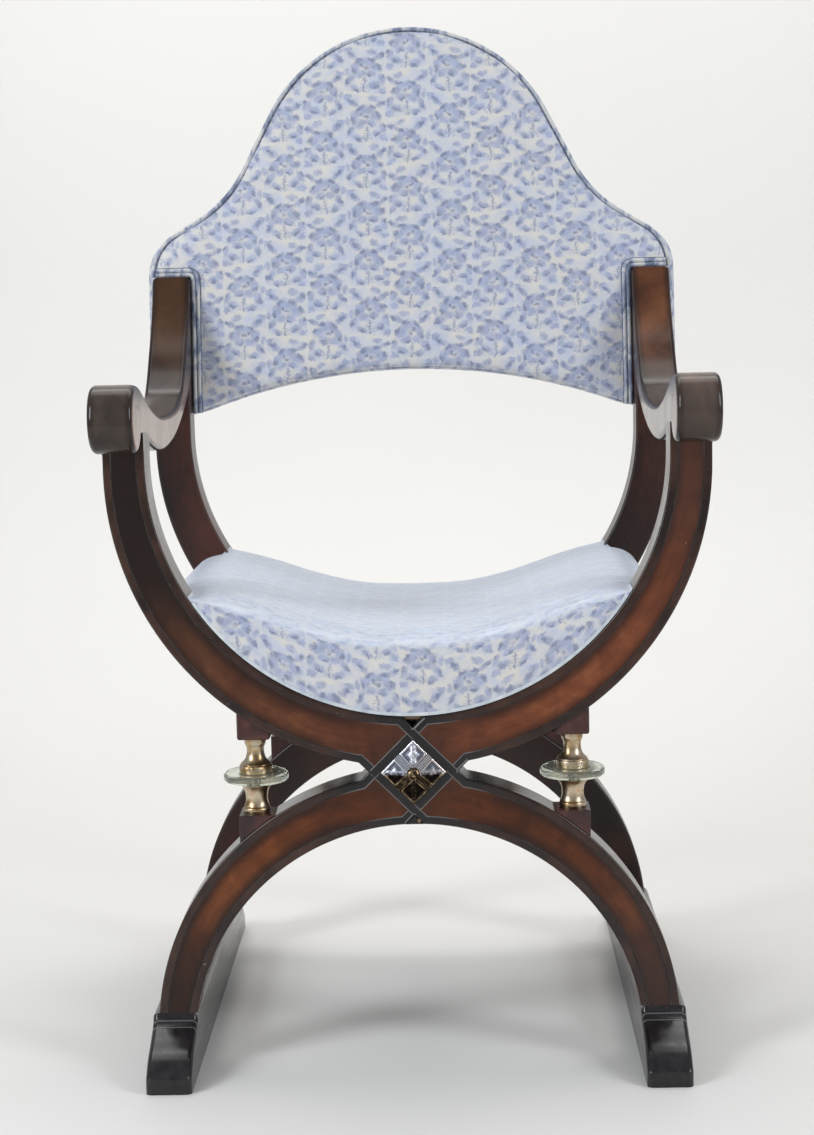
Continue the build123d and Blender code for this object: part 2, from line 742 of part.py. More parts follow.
with BuildPart() as stretcher:
    with BuildSketch(Plane.XZ.offset(-rear_y)):
        with Locations((0, crossing_height)):
            Rectangle(stretcher_side, stretcher_side, rotation=45)
            Circle(bolt_diameter / 2 + pin_clearance, mode=Mode.SUBTRACT)
    extrude(amount=bolt_grip + pin_clearance)
    with BuildSketch(Plane.XZ.offset(-rear_y + bolt_grip)):
        with Locations((0, crossing_height)):
            Rectangle(stretcher_side, stretcher_side, rotation=45)
    extrude(amount=frame_gap - 2 * bolt_grip)
    with BuildSketch(Plane.XZ.offset(-front_y - member_depth - bolt_grip - pin_clearance)):
        with Locations((0, crossing_height)):
            Rectangle(stretcher_side, stretcher_side, rotation=45)
            Circle(bolt_diameter / 2 + pin_clearance, mode=Mode.SUBTRACT)
    extrude(amount=bolt_grip + pin_clearance)
save(stretcher, "centre_stretcher")

with BuildPart() as bolts:
    for head_y, outward in ((front_y, 1), (frame_end, -1)):
        with BuildSketch(Plane.XZ.offset(-head_y)):
            with Locations((0, crossing_height)):
                Circle(bolt_head_diameter / 2)
        extrude(amount=outward * bolt_head)
        with BuildSketch(Plane.XZ.offset(-head_y)):
            with Locations((0, crossing_height)):
                Circle(bolt_diameter / 2)
        extrude(amount=-outward * (member_depth + bolt_grip - bolt_end_room))
save(bolts, "crossing_bolts")

with BuildPart() as cap:
    with BuildSketch(Plane.XZ.offset(-frame_end)):
        with Locations((0, crossing_height)):
            Circle(cap_diameter / 2)
    extrude(amount=-cap_height)
    fillet(cap.faces().sort_by(Axis.Y)[-1].edges(), radius=cap_height / 2)
    with BuildSketch(Plane.XZ.offset(-frame_end)):
        with Locations((0, crossing_height)):
            Circle(bolt_head_diameter / 2 + bolt_head_side_room)
    extrude(amount=-bolt_head - bolt_head_room, mode=Mode.SUBTRACT)
save(cap, "rear_bolt_cap")

# ---------------------------------------------------------------- seat
# Curved board that lies in the two bowls, padded and covered as one unit.
board_radius = bowl_inner_radius - glue_gap
straight_down = 270  # degrees, the bottom of a circle


def draw_bowl_sector(outer, inner, spread):
    """A band along the bottom of the bowl, in X and Z."""
    low, high = straight_down - spread, straight_down + spread
    outer_arc = ThreePointArc(
        circle_point(bowl_inner_centre, outer, low),
        circle_point(bowl_inner_centre, outer, straight_down),
        circle_point(bowl_inner_centre, outer, high),
    )
    inner_arc = ThreePointArc(
        circle_point(bowl_inner_centre, inner, low),
        circle_point(bowl_inner_centre, inner, straight_down),
        circle_point(bowl_inner_centre, inner, high),
    )
    Line(outer_arc @ 0, inner_arc @ 0)
    Line(outer_arc @ 1, inner_arc @ 1)


screw_reach = bowl_radius - board_radius + seat_screw_bite
with BuildPart() as seat_board:
    board_end = frame_end - seat_board_inset
    with BuildSketch(Plane.XZ.offset(-board_end)):
        with BuildLine():
            draw_bowl_sector(board_radius, board_radius - seat_board_thickness, seat_board_spread)
        make_face()
    extrude(amount=frame_depth - 2 * seat_board_inset)
    for middle_y in (front_middle, rear_middle):
        for screw_plane in seat_screw_planes(middle_y):
            with BuildSketch(screw_plane):
                Circle(seat_screw_diameter / 2 + pin_clearance)
            extrude(amount=screw_reach + pin_clearance, mode=Mode.SUBTRACT)
save(seat_board, "seat_board")

with BuildPart() as seat_screws:
    for middle_y in (front_middle, rear_middle):
        for screw_plane in seat_screw_planes(middle_y):
            with BuildSketch(screw_plane.offset(seat_screw_recess - seat_screw_head_thickness)):
                Circle(seat_screw_head / 2)
            extrude(amount=seat_screw_head_thickness)
            with BuildSketch(screw_plane.offset(seat_screw_recess)):
                Circle(seat_screw_diameter / 2)
            extrude(amount=screw_reach - seat_screw_recess)
save(seat_screws, "seat_screws")

pad_radius = bowl_inner_radius - cloth_gap
pad_spread = 90 - degrees(asin((bowl_inner_radius - seat_end_rise) / pad_radius))


def draw_pad(drop):
    """Saddle section of the seat, in X and Z, with its top lowered by a roll."""
    bottom = ThreePointArc(
        circle_point(bowl_inner_centre, pad_radius, straight_down - pad_spread),
        circle_point(bowl_inner_centre, pad_radius, straight_down),
        circle_point(bowl_inner_centre, pad_radius, straight_down + pad_spread),
    )
    middle = bowl_bottom + seat_middle_rise - drop
    crest = bowl_bottom + seat_crest_rise - drop
    flank = (middle + crest) / 2 - seat_flank_dip
    Spline(
        bottom @ 0,
        (-seat_crest_offset, crest),
        (-seat_flank_offset, flank),
        (0, middle),
        (seat_flank_offset, flank),
        (seat_crest_offset, crest),
        bottom @ 1,
    )


with BuildPart() as seat_pad:
    pad_front = front_y + gimp_thickness
    pad_rear = frame_end - gimp_thickness
    for outer_y, inner_y in ((pad_front, pad_front + seat_roll), (pad_rear, pad_rear - seat_roll)):
        with BuildSketch(Plane.XZ.offset(-outer_y)):
            with BuildLine():
                draw_pad(seat_roll_drop)
            make_face()
        with BuildSketch(Plane.XZ.offset(-inner_y)):
            with BuildLine():
                draw_pad(0)
            make_face()
        loft()
    with BuildSketch(Plane.XZ.offset(-pad_rear + seat_roll)):
        with BuildLine():
            draw_pad(0)
        make_face()
    extrude(amount=pad_rear - pad_front - 2 * seat_roll)
    room_radius = board_radius - seat_board_thickness - cloth_gap
    room_angle = degrees(cloth_gap / board_radius)
    with BuildSketch(Plane.XZ.offset(-board_end - cloth_gap)):
        with BuildLine():
            draw_bowl_sector(bowl_radius, room_radius, seat_board_spread + room_angle)
        make_face()
    extrude(amount=frame_depth - 2 * seat_board_inset + 2 * cloth_gap, mode=Mode.SUBTRACT)
save(seat_pad, "seat_pad")

for frame_name, start_y in (("front", front_y), ("rear", frame_end - gimp_thickness)):
    with BuildPart() as gimp:
        with BuildSketch(Plane.XZ.offset(-start_y - gimp_thickness)):
            with BuildLine():
                draw_bowl_sector(
                    pad_radius, pad_radius - gimp_width, pad_spread - gimp_stop_angle
                )
            make_face()
        extrude(amount=gimp_thickness)
    save(gimp, f"seat_{frame_name}_gimp")

with BuildPart() as dust_cover:
    with BuildSketch(Plane.XZ.offset(-rear_y + dust_cover_margin)):
        with BuildLine():
            draw_bowl_sector(
                board_radius + cloth_gap + dust_cover_thickness,
                board_radius + cloth_gap,
                seat_board_spread - dust_cover_stop_angle,
            )
        make_face()
    extrude(amount=frame_gap - 2 * dust_cover_margin)
save(dust_cover, "seat_dust_cover")

# ---------------------------------------------------------------- back
# Shaped board behind the uprights, with a padded front, a cloth tray behind it,
# piping round the edge and a double welt beside each upright.
notch_half = arm_middle_x - arm_width / 2 - notch_room_beside
back_screw_places = [
    (hand * arm_middle_x, along)
    for hand in (-1, 1)
    for along in back_screw_heights
]


def draw_crown(inset):
    """Upper right edge of the back, from the apex down to the side; returns its end."""
    dome = JernArc(
        start=(0, back_height - inset), tangent=(1, 0), radius=dome_radius - inset, arc_size=-dome_turn
    )
    flank = Line(dome @ 1, (dome @ 1) + (dome % 1) * flank_length)
    hollow = JernArc(
        start=flank @ 1, tangent=dome % 1, radius=hollow_radius + inset, arc_size=hollow_turn
    )
    slope = Line(hollow @ 1, (hollow @ 1) + (hollow % 1) * shoulder_length)
    corner = JernArc(
        start=slope @ 1,
        tangent=hollow % 1,
        radius=shoulder_radius - inset,
        arc_size=-shoulder_turn,
    )
    return corner @ 1


def draw_back(inset):
    """Whole outline of the back on its slope."""
    side_start = draw_crown(inset)
    side = Line(side_start, (back_half_width - inset, inset))
    foot = Line(side @ 1, (back_arch_half, inset))
    spring = back_arch_half**2 / back_arch_rise
    foot_radius = (spring + back_arch_rise) / 2
    crown_height = back_arch_rise + inset
    halfway = back_arch_half / 2
    sag = foot_radius - sqrt(foot_radius**2 - halfway**2)
    ThreePointArc(foot @ 1, (halfway, crown_height - sag), (0, crown_height))
    mirror(about=Plane.YZ)


with BuildPart() as back_board:
    with BuildSketch(back_plane):
        with BuildLine():
            draw_back(back_cover_thickness + glue_gap)
        make_face()
        with Locations(*back_screw_places):
            Circle(back_screw_diameter / 2 + pin_clearance, mode=Mode.SUBTRACT)
    extrude(amount=-back_board_thickness)
    with BuildSketch(back_plane.offset(-back_board_thickness)):
        with Locations(*back_screw_places):
            Circle(back_screw_head / 2 + pin_clearance)
    extrude(amount=back_screw_recess, mode=Mode.SUBTRACT)
save(back_board, "back_board")

with BuildPart() as back_screws:
    shank_start = back_screw_recess - back_board_thickness
    with BuildSketch(back_plane.offset(shank_start - back_screw_head_thickness)):
        with Locations(*back_screw_places):
            Circle(back_screw_head / 2)
    extrude(amount=back_screw_head_thickness)
    with BuildSketch(back_plane.offset(shank_start)):
        with Locations(*back_screw_places):
            Circle(back_screw_diameter / 2)
    extrude(amount=back_screw_bite - shank_start)
save(back_screws, "back_screws")

with BuildPart() as back_cover:
    with BuildSketch(back_plane):
        with BuildLine():
            draw_back(0)
        make_face()
    extrude(amount=-back_rear_thickness)
    with BuildSketch(back_plane):
        with BuildLine():
            draw_back(back_cover_thickness)
        make_face()
    extrude(amount=-back_board_thickness, mode=Mode.SUBTRACT)
save(back_cover, "back_cover")

with BuildPart() as back_pad:
    with BuildSketch(back_plane.offset(cloth_gap)):
        with BuildLine():
            draw_back(piping_diameter + cloth_gap)
        make_face()
        for hand in (-1, 1):
            with Locations((hand * notch_half, 0)):
                outward = Align.MIN if hand > 0 else Align.MAX
                Rectangle(
                    back_half_width, 2 * notch_height, align=(outward, Align.CENTER), mode=Mode.SUBTRACT
                )
    extrude(amount=back_pad_thickness)
save(back_pad, "back_pad")

pad_face = back_pad_thickness + cloth_gap


def cord_on_back(name, level, diameter, routes):
    """Round cords laid along routes drawn on a plane parallel to the back's slope."""
    with BuildPart() as cord:
        for route in routes:
            path = level.from_local_coords(route)
            with BuildSketch(Plane(origin=path @ 0, z_dir=path % 0)):
                Circle(diameter / 2)
            sweep(path=path)
    save(cord, name)


piping_inset = piping_diameter / 2 + glue_gap
with BuildLine() as piping_route:
    side_start = draw_crown(piping_inset)
    Line(side_start, (back_half_width - piping_inset, notch_height))
    mirror(about=Plane.YZ)
cord_on_back(
    "back_piping",
    back_plane.offset(pad_face - piping_diameter / 2),
    piping_diameter,
    [piping_route.wires()[0]],
)

welt_pitch = welt_diameter + glue_gap
for side_name, hand in sides.items():
    routes = []
    for row in (0.5, 1.5):
        welt_x = hand * (notch_half - row * welt_pitch)
        welt_top = notch_height + row * welt_pitch
        turn = welt_turn + row * welt_pitch
        with BuildLine() as welt_route:
            FilletPolyline(
                (welt_x, welt_diameter / 2),
                (welt_x, welt_top),
                (hand * (back_half_width - piping_diameter - welt_diameter / 2), welt_top),
                radius=turn,
            )
        routes.append(welt_route.wires()[0])
    welt_level = back_plane.offset(pad_face + welt_diameter / 2 + glue_gap)
    cord_on_back(f"{side_name}_double_welt", welt_level, welt_diameter, routes)
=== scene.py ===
import bmesh
import bpy
import numpy as np
from math import atan2, cos, hypot, pi, radians, sin, sqrt
from mathutils import Matrix, Vector


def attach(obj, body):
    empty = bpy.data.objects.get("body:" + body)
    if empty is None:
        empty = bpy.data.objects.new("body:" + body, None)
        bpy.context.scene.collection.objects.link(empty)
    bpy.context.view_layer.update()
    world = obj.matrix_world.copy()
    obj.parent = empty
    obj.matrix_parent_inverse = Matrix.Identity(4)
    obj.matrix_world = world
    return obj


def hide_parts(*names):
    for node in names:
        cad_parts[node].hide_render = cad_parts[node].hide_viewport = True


# Scissor-frame armchair of the Savonarola kind.  Metres.  +Z is up, -Y is the front.

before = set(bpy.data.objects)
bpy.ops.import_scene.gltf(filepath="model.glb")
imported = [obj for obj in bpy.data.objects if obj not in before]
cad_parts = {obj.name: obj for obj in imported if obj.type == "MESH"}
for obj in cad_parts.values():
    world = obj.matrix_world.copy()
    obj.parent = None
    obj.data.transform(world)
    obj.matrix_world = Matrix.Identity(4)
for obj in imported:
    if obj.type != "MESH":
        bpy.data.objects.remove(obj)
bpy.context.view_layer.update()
bpy.ops.object.select_all(action="DESELECT")


# ---------------------------------------------------------------- camera
# A standing viewer's height and distance, a little to the chair's left, looking down.
pitch, yaw, roll = radians(7.138), radians(-1.229), radians(-1.297)
ahead = Vector((sin(yaw) * cos(pitch), cos(yaw) * cos(pitch), -sin(pitch)))
level = Vector((cos(yaw), -sin(yaw), 0.0))
upward = level.cross(ahead)
across = level * cos(roll) + upward * sin(roll)
upward = upward * cos(roll) - level * sin(roll)
camera_data = bpy.data.cameras.new("camera")
camera_data.sensor_fit = "VERTICAL"
camera_data.sensor_height = 36.0
camera_data.lens = 70.73
camera = bpy.data.objects.new("camera", camera_data)
turn = Matrix((across, upward, -ahead)).transposed().to_4x4()
camera.matrix_world = Matrix.Translation((0.046, -2.4704, 0.804)) @ turn
bpy.context.scene.collection.objects.link(camera)
bpy.context.scene.camera = camera


# ---------------------------------------------------------------- floor and light
# A pale plain floor that curves up into a pale wall, lit through two pairs of window panes
# and by a large soft light overhead.
bpy.ops.mesh.primitive_grid_add(x_subdivisions=2, y_subdivisions=48, size=1.0)
backdrop = bpy.context.object
backdrop.name = "backdrop"
floor_wide, wall_share = 14.0, 0.18  # the wall keeps this share of the floor's width
floor_front, floor_back, curve_radius = -3.2, 1.2, 0.76
curve_run, wall_run, whole_run = 4.4, 5.6, 8.0  # where the curve and the wall begin
wall_stretch = 1.6
for vertex in backdrop.data.vertices:
    run = (vertex.co.y + 0.5) * whole_run
    vertex.co.x *= floor_wide
    if run < curve_run:
        vertex.co.y, vertex.co.z = floor_front + run, 0.0
        continue
    vertex.co.x *= wall_share
    if run < wall_run:
        sweep = (run - curve_run) / (wall_run - curve_run) * pi / 2
        vertex.co.y = floor_back + curve_radius * sin(sweep)
        vertex.co.z = curve_radius - curve_radius * cos(sweep)
    else:
        vertex.co.y = floor_back + curve_radius
        vertex.co.z = curve_radius + (run - wall_run) * wall_stretch
bpy.ops.object.shade_smooth()


class Finish:
    """A material in the making: its Principled shader, and short ways to add nodes to it."""

    def __init__(self, name, **sockets):
        self.material = bpy.data.materials.new(name)
        self.material.use_nodes = True
        self.nodes = self.material.node_tree.nodes
        self.links = self.material.node_tree.links
        self.skin = self.nodes["Principled BSDF"]
        for socket, value in sockets.items():
            self.skin.inputs[socket.replace("_", " ")].default_value = value

    def feed(self, socket, value):
        if isinstance(value, bpy.types.NodeSocket):
            self.links.new(value, socket)
        else:
            socket.default_value = value

    def add(self, kind, wires=(), output=0, **settings):
        node = self.nodes.new("ShaderNode" + kind)
        for name, value in settings.items():
            setattr(node, name, value)
        for place, value in dict(wires).items():
            self.feed(node.inputs[place], value)
        return node.outputs[output]

    def place(self, scale=(1, 1, 1), source="Object"):
        spot = self.add("TexCoord", output={"Object": 3, "UV": 2}[source])
        return self.add("Mapping", {"Vector": spot, "Scale": scale})

    def noise(self, spot, scale, detail=3.0, rough=0.55, warp=0.0):
        wires = {"Vector": spot, "Scale": scale, "Detail": detail, "Roughness": rough}
        wires["Distortion"] = warp
        return self.add("TexNoise", wires)

    def ramp(self, factor, *stops):
        node = self.nodes.new("ShaderNodeValToRGB")
        band = node.color_ramp
        while len(band.elements) < len(stops):
            band.elements.new(0.5)
        for element, (spot, colour) in zip(band.elements, stops):
            element.position = spot
            element.color = colour if len(colour) == 4 else (*colour, 1.0)
        self.links.new(factor, node.inputs[0])
        return node.outputs[0]

    def math(self, step, *values, clamp=False):
        return self.add("Math", enumerate(values), operation=step, use_clamp=clamp)

    def gap(self, first, second):
        """How far apart two values are."""
        return self.math("ABSOLUTE", self.math("SUBTRACT", first, second))

    def reach(self, first, second):
        """How far a spot is from a middle, from its distances along two axes."""
        squares = [self.math("MULTIPLY", value, value) for value in (first, second)]
        return self.math("SQRT", self.math("ADD", *squares))

    def split(self, spot):
        """The X, Y and Z of a spot."""
        node = self.nodes.new("ShaderNodeSeparateXYZ")
        self.links.new(spot, node.inputs[0])
        return node.outputs

    def span(self, value, low, high, new_low=0.0, new_high=1.0, smooth=False):
        wires = {"Value": value, "From Min": low, "From Max": high, "To Min": new_low}
        wires["To Max"] = new_high
        kind = "SMOOTHSTEP" if smooth else "LINEAR"
        return self.add("MapRange", wires, interpolation_type=kind)

    def mix(self, factor, first, second, blend="MIX"):
        node = self.nodes.new("ShaderNodeMix")
        node.data_type = "RGBA"
        node.blend_type = blend
        for place, value in ((0, factor), (6, first), (7, second)):
            if place > 0 and isinstance(value, tuple) and len(value) == 3:
                value = (*value, 1.0)
            self.feed(node.inputs[place], value)
        return node.outputs[2]

    def bump(self, height, strength, depth, under=None):
        wires = {"Height": height, "Strength": strength, "Distance": depth}
        if under is not None:
            wires["Normal"] = under
        return self.add("Bump", wires)

    def wear(self, **wires):
        for name, value in wires.items():
            self.feed(self.skin.inputs[name.replace("_", " ")], value)


wall = Finish("pale_floor", Base_Color=(0.80, 0.785, 0.77, 1), Roughness=0.6)
wall_tint = wall.noise(wall.place(), 0.9, 2.0)
wall.wear(Base_Color=wall.ramp(wall_tint, (0.3, (0.78, 0.76, 0.73)), (0.7, (0.81, 0.795, 0.765))))
backdrop.data.materials.append(wall.material)

for name, spot, aim, size, power, tint in (
    ("left_upper_pane", (-2.15, -1.75, 2.05), (0, 0, 0.6), (0.75, 0.70), 27, (0.90, 0.95, 1.0)),
    ("left_lower_pane", (-2.15, -1.75, 1.20), (0, 0, 0.6), (0.75, 0.70), 22, (0.90, 0.95, 1.0)),
    ("right_upper_pane", (2.3, -1.5, 1.95), (0, 0, 0.6), (0.65, 0.65), 17, (0.92, 0.96, 1.0)),
    ("right_lower_pane", (2.3, -1.5, 1.15), (0, 0, 0.6), (0.65, 0.65), 14, (0.92, 0.96, 1.0)),
    ("ceiling", (0.0, 0.76, 3.1), (0, 0.76, 0.0), (3.4, 1.7), 36, (1.0, 0.99, 0.97)),
    ("wall_wash", (0.0, 0.95, 3.0), (0, 1.96, 0.6), (3.4, 0.4), 13, (1.0, 0.985, 0.95)),
):
    light_data = bpy.data.lights.new(name, "AREA")
    light_data.shape = "RECTANGLE"
    light_data.size, light_data.size_y = size
    light_data.energy = power
    light_data.color = tint
    light = bpy.data.objects.new(name, light_data)
    light.location = spot
    light.rotation_euler = (Vector(aim) - Vector(spot)).to_track_quat("-Z", "Y").to_euler()
    bpy.context.scene.collection.objects.link(light)
world = bpy.data.worlds.new("room")
bpy.context.scene.world = world
world.use_nodes = True
world.node_tree.nodes["Background"].inputs["Color"].default_value = (0.93, 0.95, 1.0, 1)
world.node_tree.nodes["Background"].inputs["Strength"].default_value = 0.38
bpy.context.scene.view_settings.view_transform = "Standard"


# ---------------------------------------------------------------- runners
# Black polished feet that join the two frames, solid wood, each end cut to a sloping toe.
# The arrises are rounded over, and two fine lines are scribed across the top of the slope.
runner_inner, runner_outer, runner_height = 0.2300, 0.2768, 0.062
runner_round = 0.0060
frame_front, frame_back, member_depth = -0.23298, 0.22502, 0.047
toe_lip, toe_reach = 0.019, 0.072
lines_ahead, lines_apart = 0.0075, 0.0070  # the scribed lines, ahead of the frame's front


def take_up(piece):
    """Makes the piece the only one selected, and the one that is worked on."""
    bpy.ops.object.select_all(action="DESELECT")
    piece.select_set(True)
    bpy.context.view_layer.objects.active = piece


def piece_from(name, form):
    """A new piece with the mesh drawn in form, taken up to be worked on."""
    mesh = bpy.data.meshes.new(name)
    form.to_mesh(mesh)
    form.free()
    piece = bpy.data.objects.new(name, mesh)
    bpy.context.scene.collection.objects.link(piece)
    take_up(piece)
    return piece


def closed_outline(name, points, axis, low, high):
    """A solid of this outline, from low to high along the axis that it's drawn across."""
    form = bmesh.new()
    for first, second in points:
        form.verts.new((low, first, second) if axis == "X" else (first, low, second))
    form.faces.new(form.verts)
    blank = piece_from(name, form)
    bpy.ops.object.mode_set(mode="EDIT")
    bpy.ops.mesh.select_all(action="SELECT")
    step = (high - low, 0, 0) if axis == "X" else (0, high - low, 0)
    bpy.ops.mesh.extrude_region_move(TRANSFORM_OT_translate={"value": step})
    bpy.ops.mesh.select_all(action="SELECT")
    bpy.ops.mesh.normals_make_consistent(inside=False)
    bpy.ops.object.mode_set(mode="OBJECT")
    return blank


def pick_edges(piece, test):
    """Selects the edges of a piece that pass the test, and stays in edit mode."""
    take_up(piece)
    bpy.ops.object.mode_set(mode="EDIT")
    bpy.ops.mesh.select_mode(type="EDGE")
    bpy.ops.mesh.select_all(action="DESELECT")
    form = bmesh.from_edit_mesh(piece.data)
    for edge in form.edges:
        edge.select_set(bool(test(edge)))
    bmesh.update_edit_mesh(piece.data)


def ease_edges(piece, width, steps, test, clamped=True):
    """Rounds over the edges that pass the test."""
    pick_edges(piece, test)
    bpy.ops.mesh.bevel(offset=width, segments=steps, profile=0.5, clamp_overlap=clamped)
    bpy.ops.object.mode_set(mode="OBJECT")


def settle(piece, angle=32.0, weighted=True):
    """Smooth shading up to this angle; weighted keeps the broad flat faces flat."""
    take_up(piece)
    bpy.ops.object.shade_smooth_by_angle(angle=radians(angle))
    if weighted:
        bpy.ops.object.modifier_add(type="WEIGHTED_NORMAL")
        piece.modifiers[-1].keep_sharp = True
        bpy.ops.object.modifier_apply(modifier=piece.modifiers[-1].name)


def smooth_line(points, steps):
    """A curve through the points, each stretch divided evenly."""
    line = []
    for place in range(len(points) - 1):
        before = Vector(points[max(place - 1, 0)])
        start, end = Vector(points[place]), Vector(points[place + 1])
        after = Vector(points[min(place + 2, len(points) - 1)])
        gap = (end - start).length
        lead = (end - before) * gap / max((end - start).length + (start - before).length, 1e-9)
        tail = (after - start) * gap / max((after - end).length + (end - start).length, 1e-9)
        for step in range(steps):
            part = step / steps
            square, cube = part * part, part**3
            line.append(
                start * (2 * cube - 3 * square + 1)
                + lead * (cube - 2 * square + part)
                + end * (3 * square - 2 * cube)
                + tail * (cube - square)
            )
    line.append(Vector(points[-1]))
    return line


black_polish = Finish("black_lacquer_wood", Base_Color=(0.014, 0.013, 0.014, 1), Roughness=0.24)
streak = black_polish.noise(black_polish.place((40, 3, 40)), 3, 3, 0.5)
scuff = black_polish.noise(black_polish.place(), 420, 3, 0.6)
scuffed = black_polish.span(scuff, 0.70, 0.76, 0.0, 0.5)
_, foot_y, foot_z = black_polish.split(black_polish.place())
from_lines = black_polish.gap(foot_y, frame_front - lines_ahead)
from_lines = black_polish.gap(from_lines, lines_apart / 2)
scribed_across = black_polish.span(from_lines, 0.0009, 0.0004, smooth=True)
high_on_toe = black_polish.span(foot_z, 0.0415, 0.0440)
scribed_across = black_polish.math("MULTIPLY", scribed_across, high_on_toe)
black_polish.wear(
    Base_Color=black_polish.mix(
        black_polish.math("MAXIMUM", scuffed, black_polish.math("MULTIPLY", scribed_across, 0.55)),
        black_polish.ramp(streak, (0.3, (0.009, 0.008, 0.009)), (0.75, (0.022, 0.019, 0.020))),
        (0.20, 0.19, 0.19),
    ),
    Roughness=black_polish.span(streak, 0.3, 0.8, 0.16, 0.27),
    Normal=black_polish.bump(scribed_across, 0.6, 0.0006),
)
black_polish.skin.inputs["Specular IOR Level"].default_value = 0.45

# The toe from the floor up to the runner's top, as distance ahead of the frame and height.
slope = [
    (toe_reach - 0.0025, toe_lip), (0.052, 0.0325), (0.027, 0.0432), (0.010, 0.0508),
    (0.002, 0.0565),
]
toe = [(toe_reach, 0.0), (toe_reach, toe_lip - 0.003)]
toe += [tuple(spot) for spot in smooth_line(slope, 8)] + [(0.0, runner_height)]
front_toe = [(frame_front - reach, height) for reach, height in toe]
rear_toe = [(frame_back + reach, height) for reach, height in toe]
runner_line = front_toe + rear_toe[::-1]
for hand, side in ((-1, "left"), (1, "right")):
    low_x, high_x = sorted((hand * runner_inner, hand * runner_outer))
    runner = closed_outline(f"{side}_foot_runner", runner_line, "X", low_x, high_x)
    ends = (round(low_x, 5), round(high_x, 5))
    ease_edges(
        runner,
        runner_round,
        5,
        lambda edge: all(round(v.co.x, 5) in ends for v in edge.verts)
        and abs(edge.verts[0].co.x - edge.verts[1].co.x) < 1e-6
        and max(v.co.z for v in edge.verts) > 0.002,
        clamped=False,
    )
    settle(runner)
    runner.data.materials.append(black_polish.material)
    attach(runner, "root")
    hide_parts(f"{side}_runner")


# ---------------------------------------------------------------- rear frame
# Two curved members of plain dark mahogany, halved together where they cross.
# Each runs from the arm on one side down to the runner on the other, arrises eased.
bowl_centre, bowl_radius = 0.6250, 0.307
bowl_inner_centre, bowl_inner_radius = 0.635, 0.2647
arch_centre, arch_radius = 0.039, 0.271
arch_inner_centre, arch_inner_radius = 0.0255, 0.2325
crossing_height, crossing_half = 0.313, 0.046
upper_edge = crossing_height + crossing_half  # x + z on the left member's upper edge
lower_edge = crossing_height - crossing_half
member_top, bowl_steps, arch_steps = 0.66, 44, 36


def where_they_meet(centre, radius, edge, side):
    """Where a circle about (0, centre) meets the 45 degree line x + z = edge."""
    reach = edge - centre
    half = sqrt(radius**2 - reach**2 / 2)
    return reach / 2 + side * half / sqrt(2)


def upper_run(centre, radius, edge):
    """A member's line from the arm down, round the bowl and along to the crossing."""
    meet = where_they_meet(centre, radius, edge, 1)
    turn_end = atan2(edge - meet - centre, meet)
    points = [(-radius, member_top), (-radius, (member_top + centre) / 2)]
    for step in range(bowl_steps + 1):
        angle = -pi + (turn_end + pi) * step / bowl_steps
        points.append((radius * cos(angle), centre + radius * sin(angle)))
    points.append(((edge - upper_edge) / 2, (edge + upper_edge) / 2))
    return points


def lower_run(centre, radius, edge):
    """A member's line from the crossing, round the arch and down to the runner."""
    meet = where_they_meet(centre, radius, edge, -1)
    start = atan2(edge - meet - centre, meet)
    rise = runner_height - centre
    end = atan2(rise, sqrt(radius**2 - rise**2))
    points = [((edge - lower_edge) / 2, (edge + lower_edge) / 2)]
    for step in range(arch_steps + 1):
        angle = start + (end - start) * step / arch_steps
        points.append((radius * cos(angle), centre + radius * sin(angle)))
    return points


def member_lines(bands):
    """Lines along a member, each as x + z at the crossing and its runs above and below.

    bands holds pairs: the distance in from the upper edge, or None, and from the lower edge."""
    lines = []
    for from_upper, from_lower in bands:
        if from_lower is None:
            edge = upper_edge - from_upper * sqrt(2)
            above = upper_run(bowl_inner_centre, bowl_inner_radius + from_upper, edge)
            below = lower_run(arch_centre, arch_radius - from_upper, edge)
        else:
            edge = lower_edge + from_lower * sqrt(2)
            above = upper_run(bowl_centre, bowl_radius - from_lower, edge)
            below = lower_run(arch_inner_centre, arch_inner_radius + from_lower, edge)
        lines.append((edge, above, below))
    return lines


def member_sheet(lines, mirrored, parts):
    """The flat front of a member: strips between its lines.  parts picks upper, square, lower.

    Returns points and faces, each face with its strip and its stretch along the member."""
    side = -1 if mirrored else 1
    marks = [edge for edge, above, below in lines]
    rows = []
    for edge, above, below in lines:
        square = [((edge - mark) / 2, (edge + mark) / 2) for mark in marks]
        row = []
        if "upper" in parts:
            row += [("upper", spot) for spot in above[:-1]]
        if "square" in parts or "upper" in parts:
            row.append(("upper", square[0]))
        if "square" in parts:
            row += [(f"square{place}", spot) for place, spot in enumerate(square[1:])]
        elif "lower" in parts:
            row.append(("lower", square[-1]))
        if "lower" in parts:
            row += [("lower", spot) for spot in below[1:]]
        rows.append(row)
    points, faces = [], []
    width = len(rows[0])
    for row in rows:
        points += [(side * x, z) for stretch, (x, z) in row]
    for strip in range(len(rows) - 1):
        for place in range(width - 1):
            corner = strip * width + place
            stretch = rows[strip][place + 1][0]
            loop = (corner, corner + width, corner + width + 1, corner + 1)
            faces.append((loop[::side], strip, stretch))
    return points, faces


def member_sheets(lines, mirrored, regions):
    """The strips of a whole member, each sheet with the rule that numbers its faces.

    The left member shows the wood of the halving, so the right one stops at its sides."""
    parts = [("upper",), ("lower",)] if mirrored else [("upper", "square", "lower")]
    return [(*member_sheet(lines, mirrored, part), regions) for part in parts]


